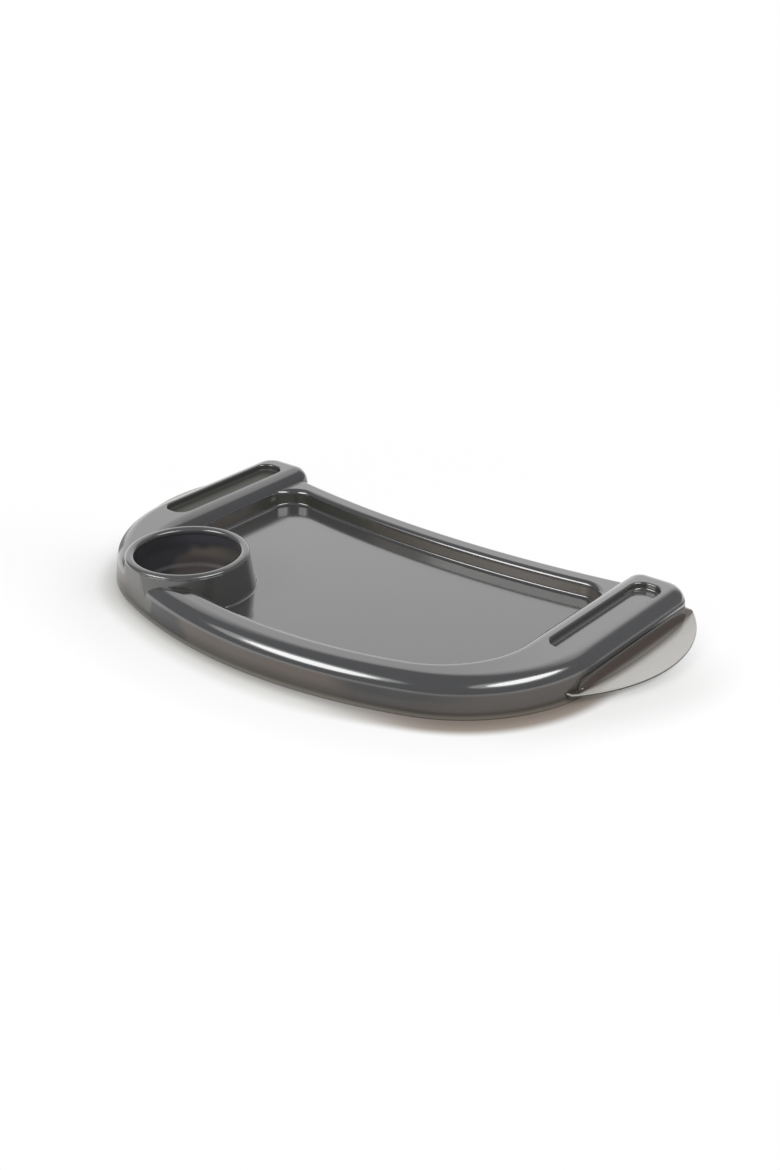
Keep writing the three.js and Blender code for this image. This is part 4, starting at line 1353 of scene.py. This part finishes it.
@dataclass
class CupLiner:
    """The lift-out cup: a tapered wall with a round foot and a rolled lip, in millimetres."""

    inner: float = 39.0
    lip_width: float = 6.6
    lip_reach: float = 3.9
    lip_drop: float = 1.4
    lip_height: float = 2.6
    top: float = 33.6
    wall: float = 1.5
    floor: float = 2.4
    bottom: float = 1.0
    foot: float = 5.0
    taper: float = 1.0
    foot_steps: int = 9
    lip_steps: int = 32

    def build(self) -> bpy.types.Object:
        """Carries the profile round: foot arc, outer wall, lip, inner wall, inner foot arc.

        The lip is half an ellipse, w/2 cos a out and h sin a up; the foot arcs are f(1 - sin a) in and
        f(1 - cos a) up; the lip eases into the wall by e cos² a.

        Returns:
            The liner as one closed mesh.
        """
        outer, under = self.inner + self.wall, self.top - self.lip_height
        turn = np.linspace(0, QUARTER, self.foot_steps)
        half_turn = np.linspace(0, 2 * QUARTER, self.lip_steps)
        half = self.lip_width / 2
        middle = outer + self.lip_reach - half
        ease = self.inner - (middle - half)
        foot_in, foot_up = fillet(self.foot, turn)
        inside_in, inside_up = fillet(self.foot - self.wall, turn[::-1])
        low, down = outer - self.taper, turn[1:]
        profile = [
            *zip(low - foot_in, self.bottom + foot_up),
            (outer, under),
            *zip(middle + half * np.cos(half_turn), under + self.lip_height * np.sin(half_turn)),
            *zip(self.inner - ease * np.cos(down) ** 2, under - self.lip_drop * 2 * np.sin(down)),
            *zip(low - self.wall - inside_in, self.bottom + self.floor + inside_up),
        ]
        cup = turned("cup_liner_moulding", CUP, profile)
        smoothed(cup)
        return cup

    def dress(self, piece: bpy.types.Object) -> None:
        """Puts the liner in its gloss and on the cup's body."""
        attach(piece, "cup")
        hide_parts("cup_liner")
        dressed(piece, Finish.LINER)


@dataclass
class ReleaseWing:
    """A pull-out wing: half-moon grip with a concave root, and the flat slide behind it, in millimetres."""

    side: Side
    underside: float = 5.0
    thickness: float = 2.0
    radius: float = 112.59
    centre_x: float = 116.41
    middle_y: float = 47.6
    half_chord: float = 76.2
    slot_x: float = 191.6
    tongue_x: float = 178.3
    tongue_half: float = 53.5
    root_x: float = 198.6
    root_width: float = 12.0
    root_height: float = 6.6
    root_front: float = -19.4
    root_back: float = 115.6
    root_lean: tuple[float, float] = (4.0, 1.6)
    root_lap: tuple[float, float] = (0.2, 0.4)
    edge: float = 0.95
    tooth_x: tuple[float, float] = (172.5, 180.3)
    tooth_y: float = 24.98
    tooth_half: float = 5.0
    screw_x: float = 187.5
    screw_y: float = 33.0
    screw_slot: tuple[float, float, float] = (10.6, 5.9, 2.8)
    window_x: tuple[float, float] = (181.7, 193.0)
    window_y: float = 14.02
    window_half: float = 2.1
    cut_top: float = 20.0
    root_round: float = 0.93 * QUARTER
    root_steps: tuple[int, int] = (18, 81)
    grip_steps: int = 160
    edge_steps: int = 9
    slot_steps: int = 10
    crease_deg: float = 40.0

    def plate(self, inset: np.ndarray) -> np.ndarray:
        """The slide's outline: the grip's circle moved in, then the straight steps back to the tongue.

        Args:
            inset: how far the circle moves in, one value for each row.

        Returns:
            Rows of closed outlines on the right side.
        """
        half = math.asin(self.half_chord / self.radius)
        near, far = self.middle_y - self.half_chord, self.middle_y + self.half_chord
        back, front = self.middle_y + self.tongue_half, self.middle_y - self.tongue_half
        corners = [(self.slot_x, far), (self.slot_x, back), (self.tongue_x, back)]
        corners += [(self.tongue_x, front), (self.slot_x, front), (self.slot_x, near)]
        rim = arc(self.centre_x, self.middle_y, self.radius - inset, -half, half, self.grip_steps)
        return np.concatenate([rim, *[spot(x, y, len(inset)) for x, y in corners]], 1)

    def root(self) -> bpy.types.Object:
        """The concave root: width w(1 - sin a)·sin(pi·t)^0.5 at height h(1 - cos a), t from front to back.

        Returns:
            The solid on the right side.
        """
        width, share = fillet(1.0, np.linspace(0, self.root_round, self.root_steps[0])[:, None])
        along = np.linspace(0, 1, self.root_steps[1])
        front = self.root_front + self.root_lean[0] * share
        back = self.root_back - self.root_lean[1] * share
        y = front + (back - front) * along
        x = self.root_x + self.root_width * width * np.clip(np.sin(np.pi * along), 0, 1) ** 0.5
        inward, sunk = self.root_lap
        wall = np.full_like(front, self.root_x - inward)
        ends = [np.stack([wall, place], -1) for place in (back, front)]
        rings = np.concatenate([np.stack([x, y], -1), *ends], 1)
        foot = self.underside + self.thickness - sunk
        return solid("root", rings, foot + (self.root_height + sunk) * share[:, 0])

    def build(self) -> bpy.types.Object:
        """The wing: plate and root joined, with latch teeth, screw slots and spring windows.

        The plate's edge is e(1 - cos a) in and half its thickness times sin a up, a from -90° to 90°.

        Returns:
            The wing as one closed mesh.
        """
        turn = np.linspace(-QUARTER, QUARTER, self.edge_steps)
        half, low, top = self.thickness / 2, self.underside, self.underside + self.thickness
        wing = solid("wing", self.plate(self.edge * (1 - np.cos(turn))), low + half + half * np.sin(turn))
        adds, cuts = [self.root()], []
        length, width, corner = self.screw_slot
        for end in End:
            tooth, screw, window = (
                self.middle_y + end.value * reach for reach in (self.tooth_y, self.screw_y, self.window_y)
            )
            (x0, x1), reach = self.tooth_x, self.tooth_half
            adds.append(block("tooth", (x0, tooth - reach, low), (x1, tooth + reach, top)))
            sizes = (np.full(2, size) for size in (length, width, corner))
            ring = rounded(self.screw_x, screw, *sizes, self.slot_steps)
            cuts.append(solid("slot", ring, [0, self.cut_top]))
            (x0, x1), reach = self.window_x, self.window_half
            cuts.append(block("window", (x0, window - reach, 0), (x1, window + reach, self.cut_top)))
        wing = worked(worked(wing, Join.ADD, adds), Join.CUT, cuts)
        if self.side is Side.LEFT:
            right, wing = wing, reflected(wing)
            bpy.data.meshes.remove(right.data)
        wing.name = f"{self.side.word}_wing_plate"
        smoothed(wing, self.crease_deg)
        return wing

    def dress(self, piece: bpy.types.Object) -> None:
        """Puts the wing in clear smoke and on its own body."""
        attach(piece, f"{self.side.word}_wing")
        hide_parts(f"{self.side.word}_release_wing")
        dressed(piece, Finish.WING)


@dataclass
class ReturnSpring:
    """A compression spring along X: a round wire whose centre runs round a helix, in millimetres."""

    side: Side
    end: End
    start: float = 181.7
    length: float = 9.0
    radius: float = 1.8
    wire: float = 0.25
    turns: float = 6.0
    middle_y: float = 47.6
    reach: float = 14.02
    z: float = 6.0
    steps: int = 28
    sides: int = 10

    @property
    def y(self) -> float:
        """Y of the coil's axis."""
        return self.middle_y + self.end.value * self.reach

    def build(self) -> bpy.types.Object:
        """The wire: centre (x0 + run·t, y + r cos a, z + r sin a), a = 2π·turns·t, with a ring round it.

        Returns:
            The coil as one closed mesh.
        """
        t = np.linspace(0, 1, int(self.turns * self.steps) + 1)
        angle, r = TURN * self.turns * t, self.radius - self.wire
        out = np.stack([np.zeros_like(t), np.cos(angle), np.sin(angle)], -1)
        run = self.start + self.wire + (self.length - 2 * self.wire) * t
        centre = np.stack([run, self.y + r * out[:, 1], self.z + r * out[:, 2]], -1)
        spin = np.linspace(0, TURN, self.sides, endpoint=False)[None, :, None]
        ring = out[:, None] * np.cos(spin) + np.sin(spin) * np.array([1.0, 0, 0])
        points = centre[:, None] + self.wire * ring
        points[..., 0] *= self.side.value
        name = f"{self.side.word}_{self.end.word}_coil"
        made = meshed(name, points.reshape(-1, 3) * MM, skin(*points.shape[:2]))
        upright(made)
        made.data.shade_smooth()
        return made

    def dress(self, piece: bpy.types.Object) -> None:
        """Puts the coil in spring steel, in place of the frame's spring.

        Args:
            piece: the coil.
        """
        ends = (self.side.value * x for x in (self.start, self.start + self.length))
        inner, outer = (tuple(Vector((x, self.y, self.z)) * MM) for x in ends)
        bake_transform(piece)
        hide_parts(f"{self.side.word}_{self.end.word}_spring")
        dressed(piece, Finish.SPRING)


@dataclass
class ArmGuide:
    """A side's arm guide with its pads and screws: solids that stay as they are and get their finishes."""

    side: Side

    def dress(self, nodes: dict[str, bpy.types.Object]) -> None:
        """Gives the guide, its two pads and its four screws their finishes, and reports each.

        Args:
            nodes: the frame's objects by name.
        """
        kept = {"arm_guide": Finish.NYLON}
        for end in End:
            kept[f"{end.word}_pad"] = Finish.RUBBER
            kept[f"{end.word}_guide_screw"] = kept[f"{end.word}_wing_screw"] = Finish.ZINC
        for name, finish in kept.items():
            for slot in nodes[f"{self.side.word}_{name}"].material_slots:
                slot.material = finish.material()
            LOG.info("%s_%s kept, in %s", self.side.word, name, finish.name.lower())


# ---------------------------------------------------------------- the studio


@dataclass(frozen=True)
class PaleFloor:
    """The floor's finish: it keeps the tray's shadow and runs to plain white away from it.

    A painted tint stands for light that comes through the tray's front onto the ground under its edge, pale
    at the left and amber at the right. The tint follows the tray's outline, moved a little. Two painted
    shadows are a
    touch darker: one ahead of the tray and one round the right wing. Sizes are in metres.
    """

    name: str = "pale_floor"
    plain: tuple[Colour, Colour] = (grey(0.86), grey(0.88))
    # painted tint under the edge, darker close to it: pale at the left, amber at the right
    pale: tuple[Colour, Colour] = ((0.4, 0.395, 0.38, 1), (0.72, 0.715, 0.695, 1))
    amber: tuple[Colour, Colour] = ((0.24, 0.204, 0.177, 1), (0.33, 0.285, 0.245, 1))
    # painted shadows: ahead of the tray, and round the right wing
    ahead: Colour = grey(0.95)
    wing_shadow: Colour = (0.84, 0.84, 0.835, 1)
    mottle: Noise = (3.0, 2.0, EVEN)
    roughness: float = 0.9
    shift: tuple[float, float] = (0.007, -0.0085)
    front_y: float = 0.232
    front_radius: float = 0.358
    corner: tuple[float, float] = (0.087, 0.0046)
    corner_radius: float = 0.1145
    wing: tuple[float, float] = (0.1094, 0.0561)
    wing_radius: float = 0.1126
    sharp: float = 0.0001
    warm_x: Run = (0.05, 0.15)
    warm_narrows: float = 0.8
    # where the painted tint, the contact shadow and the two painted shadows lie
    tint_reach: Run = (-0.002, 0.016)
    tint_y: Run = (-0.02, 0.06)
    contact_shadow: Run = (-0.0095, 0.002)
    ahead_reach: Run = (0.02, 0.075)
    ahead_y: Run = (-0.08, -0.02)
    wing_reach: Run = (0.01, 0.058)
    wing_x: Run = (0.12, 0.19)
    wing_y: Run = (0.03, 0.12)
    away: Run = (0.23, 0.48)
    behind: Run = (-0.04, 0.09)
    behind_slope: float = 0.3
    white_share: tuple[float, float, float] = (0.35, 0.65, 0.6)

    def reach(self, x: Signal, y: Signal) -> Signal:
        """How far a point is outside the outline: its distance from the front arc or a front corner's arc.

        The corner's arc counts beyond the line from the front arc's centre through the corner's centre, and
        its distance counts only what lies outwards of that centre.

        Args:
            x, y: the point.

        Returns:
            The distance, below 0 inside.
        """
        (corner_x, corner_y), sharp = self.corner, self.sharp
        out = x.distance()
        front = reach_of(x, y - self.front_y) - self.front_radius
        past_x = (out - corner_x) * (out - corner_x).ramp(0, sharp)
        past_y = (y - corner_y) * (1 - (y - corner_y).ramp(-sharp, 0))
        side = (out * (self.front_y - corner_y) - (self.front_y - y) * corner_x).ramp(0, 2 * sharp)
        return front * (1 - side) + (reach_of(past_x, past_y) - self.corner_radius) * side

    def cast(self, s: Surface, x: Signal, y: Signal) -> Signal:
        """The painted light and shade that the tray casts on the ground: its tint under the edge, and two
        painted shadows.

        Args:
            s: the material's tree.
            x, y: the point from the outline's middle.

        Returns:
            The colour.
        """
        reach, warm = self.reach(x, y), x.ramp(*self.warm_x)
        # painted tint of light through the tray, under its edge
        tinted = 1 - (reach * (1 + warm * self.warm_narrows)).ramp(*self.tint_reach)
        # painted contact shadow, darkest at the edge
        contact_shadow = reach.ramp(*self.contact_shadow)
        edge = s.mix(warm, s.mix(contact_shadow, *self.pale), s.mix(contact_shadow, *self.amber))
        # painted shadow ahead of the tray
        ahead = (1 - reach.ramp(*self.ahead_reach)) * (1 - y.ramp(*self.ahead_y))
        # painted shadow round the right wing
        wing_out = reach_of(x - self.wing[0], y - self.wing[1]) - self.wing_radius
        wing_shadow = (1 - wing_out.ramp(*self.wing_reach)) * x.ramp(*self.wing_x) * (1 - y.ramp(*self.wing_y))
        painted_shadows = s.mix(wing_shadow, s.mix(ahead, grey(1), self.ahead), self.wing_shadow)
        return s.mix(tinted * (1 - y.ramp(*self.tint_y)), painted_shadows, edge)

    def build(self) -> bpy.types.Material:
        """The material: a share of it is plain white light, more away from the tray and behind it.

        Returns:
            The material.
        """
        s = surface(self.name)
        x, y, _ = s.place()
        x, y = x - self.shift[0], y - self.shift[1]
        cast = self.cast(s, x, y)
        tone = s.mix(1.0, s.mix(s.noise(*self.mottle), *self.plain), cast, "MULTIPLY")
        values = {"Base Color": tone, "Roughness": self.roughness, "Specular IOR Level": 0.0}
        plain = s.node("ShaderNodeBsdfPrincipled", {}, values)
        white = s.node("ShaderNodeEmission", {}, {"Color": cast, "Strength": 1.0})
        length = s.node("ShaderNodeVectorMath", {"operation": "LENGTH"}, {0: s.coordinate("Object")}, 1)
        away, behind = length.ramp(*self.away), (y - x * self.behind_slope).ramp(*self.behind)
        everywhere, further, further_back = self.white_share
        share = s.ray(Ray.CAMERA) * (everywhere + away * further + (1 - away) * behind * further_back)
        share = share + s.ray(Ray.GLOSSY) * away
        s.close(s.node("ShaderNodeMixShader", {}, {0: share, 1: plain, 2: white}))
        return s.owner


@dataclass(frozen=True)
class Surround:
    """The world: even for the light, white to the camera, and to the gloss a white backdrop in a dim room.

    A direction's azimuth is atan2(x, -y) in degrees. The backdrop fades in and out at set azimuths and
    towards the top, where it leans to one side and reaches higher behind the tray's left.
    """

    name: str = "surround"
    level: float = 0.6
    room: Colour = (0.27, 0.275, 0.285, 1)
    starts: Run = (172, 198)
    ends: Run = (258, 268)
    top: Run = (0.62, 0.82)
    lean: float = 22.0
    lean_z: Run = (0.64, 0.78)
    rise: float = 0.12
    rise_until: Run = (200, 232)

    def build(self) -> bpy.types.World:
        """The world's tree.

        Returns:
            The world.
        """
        s = Surface(bpy.data.worlds.new(self.name))
        x, y, z = (s.part(s.coordinate("Generated"), axis) for axis in "XYZ")
        turn = s.node("ShaderNodeMath", {"operation": "ARCTAN2"}, {0: x, 1: 0 - y}) * math.degrees(1)
        full = turn + (1 - turn.ramp(-0.01, 0.01)) * 360
        high = z - (1 - full.ramp(*self.rise_until)) * self.rise
        start = (full + z.ramp(*self.lean_z) * self.lean).ramp(*self.starts)
        sheet = start * (1 - full.ramp(*self.ends)) * (1 - high.ramp(*self.top))
        room = s.mix(s.ray(Ray.GLOSSY), grey(self.level), s.mix(sheet, self.room, grey(1)))
        tone = s.mix(s.ray(Ray.CAMERA), room, grey(1))
        s.close(s.node("ShaderNodeBackground", {}, {"Color": tone, "Strength": 1.0}), "ShaderNodeOutputWorld")
        return s.owner


def towards(azimuth: float, elevation: float) -> Vector:
    """The direction (sin a cos e, -cos a cos e, sin e), in degrees, where azimuth 0 is the tray's front."""
    a, e = math.radians(azimuth), math.radians(elevation)
    return Vector((math.sin(a) * math.cos(e), -math.cos(a) * math.cos(e), math.sin(e)))


@dataclass(frozen=True)
class Softbox:
    """An oval lamp turned to the tray, with power radiance × π × its area. In degrees and metres."""

    name: str
    azimuth: float
    elevation: float
    size: tuple[float, float]
    radiance: float
    distance: float = 1.6

    def build(self) -> None:
        """Hangs the lamp."""
        back = towards(self.azimuth, self.elevation)
        data = bpy.data.lights.new(self.name, "AREA")
        data.shape, data.size, data.size_y = "ELLIPSE", *self.size
        data.energy = self.radiance * math.pi * math.pi * self.size[0] * self.size[1] / 4
        lamp = bpy.data.objects.new(self.name, data)
        lamp.location = back * self.distance
        lamp.rotation_euler = back.to_track_quat("Z", "Y").to_euler()
        bpy.context.scene.collection.objects.link(lamp)


@dataclass(frozen=True)
class Studio:
    """The camera, the pale floor and the lights: two softboxes with a soft halo each. In mm and degrees."""

    azimuth: float = 39.355
    elevation: float = 26.162
    roll: float = -0.445
    distance: float = 1114.2
    target: tuple[float, float, float] = (25.859, 5.209, 18.495)
    lens: float = 49.004
    sensor: float = 36.0
    nearest: float = 0.01
    ground: Box = ((-6000.0, -6000.0, -40.0), (6000.0, 6000.0, -0.2))
    lamps: tuple[Softbox, ...] = (
        Softbox("left_softbox", -22.0, 34.0, (1.0, 0.56), 5.3),
        Softbox("left_halo", -25.0, 35.0, (1.5, 0.85), 1.2),
        Softbox("right_softbox", 88.0, 44.0, (1.25, 0.5), 5.4),
        Softbox("right_halo", 84.0, 44.0, (1.7, 0.8), 1.2),
    )

    def camera(self) -> None:
        """A camera at target + distance·direction, looking at the target and rolled a little."""
        back = towards(self.azimuth, self.elevation)
        data = bpy.data.cameras.new("camera")
        data.lens, data.sensor_width, data.clip_start = self.lens, self.sensor, self.nearest
        eye = bpy.data.objects.new("camera", data)
        eye.location = (Vector(self.target) + back * self.distance) * MM
        level = back.to_track_quat("Z", "Y").to_matrix()
        eye.rotation_euler = (level @ Matrix.Rotation(math.radians(self.roll), 3, "Z")).to_euler()
        bpy.context.scene.collection.objects.link(eye)
        bpy.context.scene.camera = eye

    def build(self) -> None:
        """Sets up the camera, the floor, the surround, the lamps and the view."""
        self.camera()
        ground = block("floor", *self.ground)
        ground.data.materials.append(PaleFloor().build())
        bpy.context.scene.world = Surround().build()
        for lamp in self.lamps:
            lamp.build()
        bpy.context.scene.view_settings.view_transform = "Standard"


# ---------------------------------------------------------------- assembly


def corners(pair: Any) -> list[list[float]]:
    """A box's two corners as plain lists of numbers."""
    return [[float(value) for value in corner] for corner in pair]


def main() -> None:
    """Loads the frame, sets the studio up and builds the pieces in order."""
    logging.basicConfig(level=logging.INFO, format="%(name)s: %(message)s")
    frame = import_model()
    Studio().build()
    parts: list[Shell | CupLiner | ReleaseWing | ReturnSpring] = [Shell(TrayPlan()), CupLiner()]
    for side in Side:
        parts += [ReleaseWing(side), *[ReturnSpring(side, end) for end in End]]
    for part in parts:
        piece = part.build()
        part.dress(piece)
        LOG.info("%s: %d faces", piece.name, len(piece.data.polygons))
    for side in Side:
        ArmGuide(side).dress(frame["nodes"])


if __name__ == "__main__":
    main()
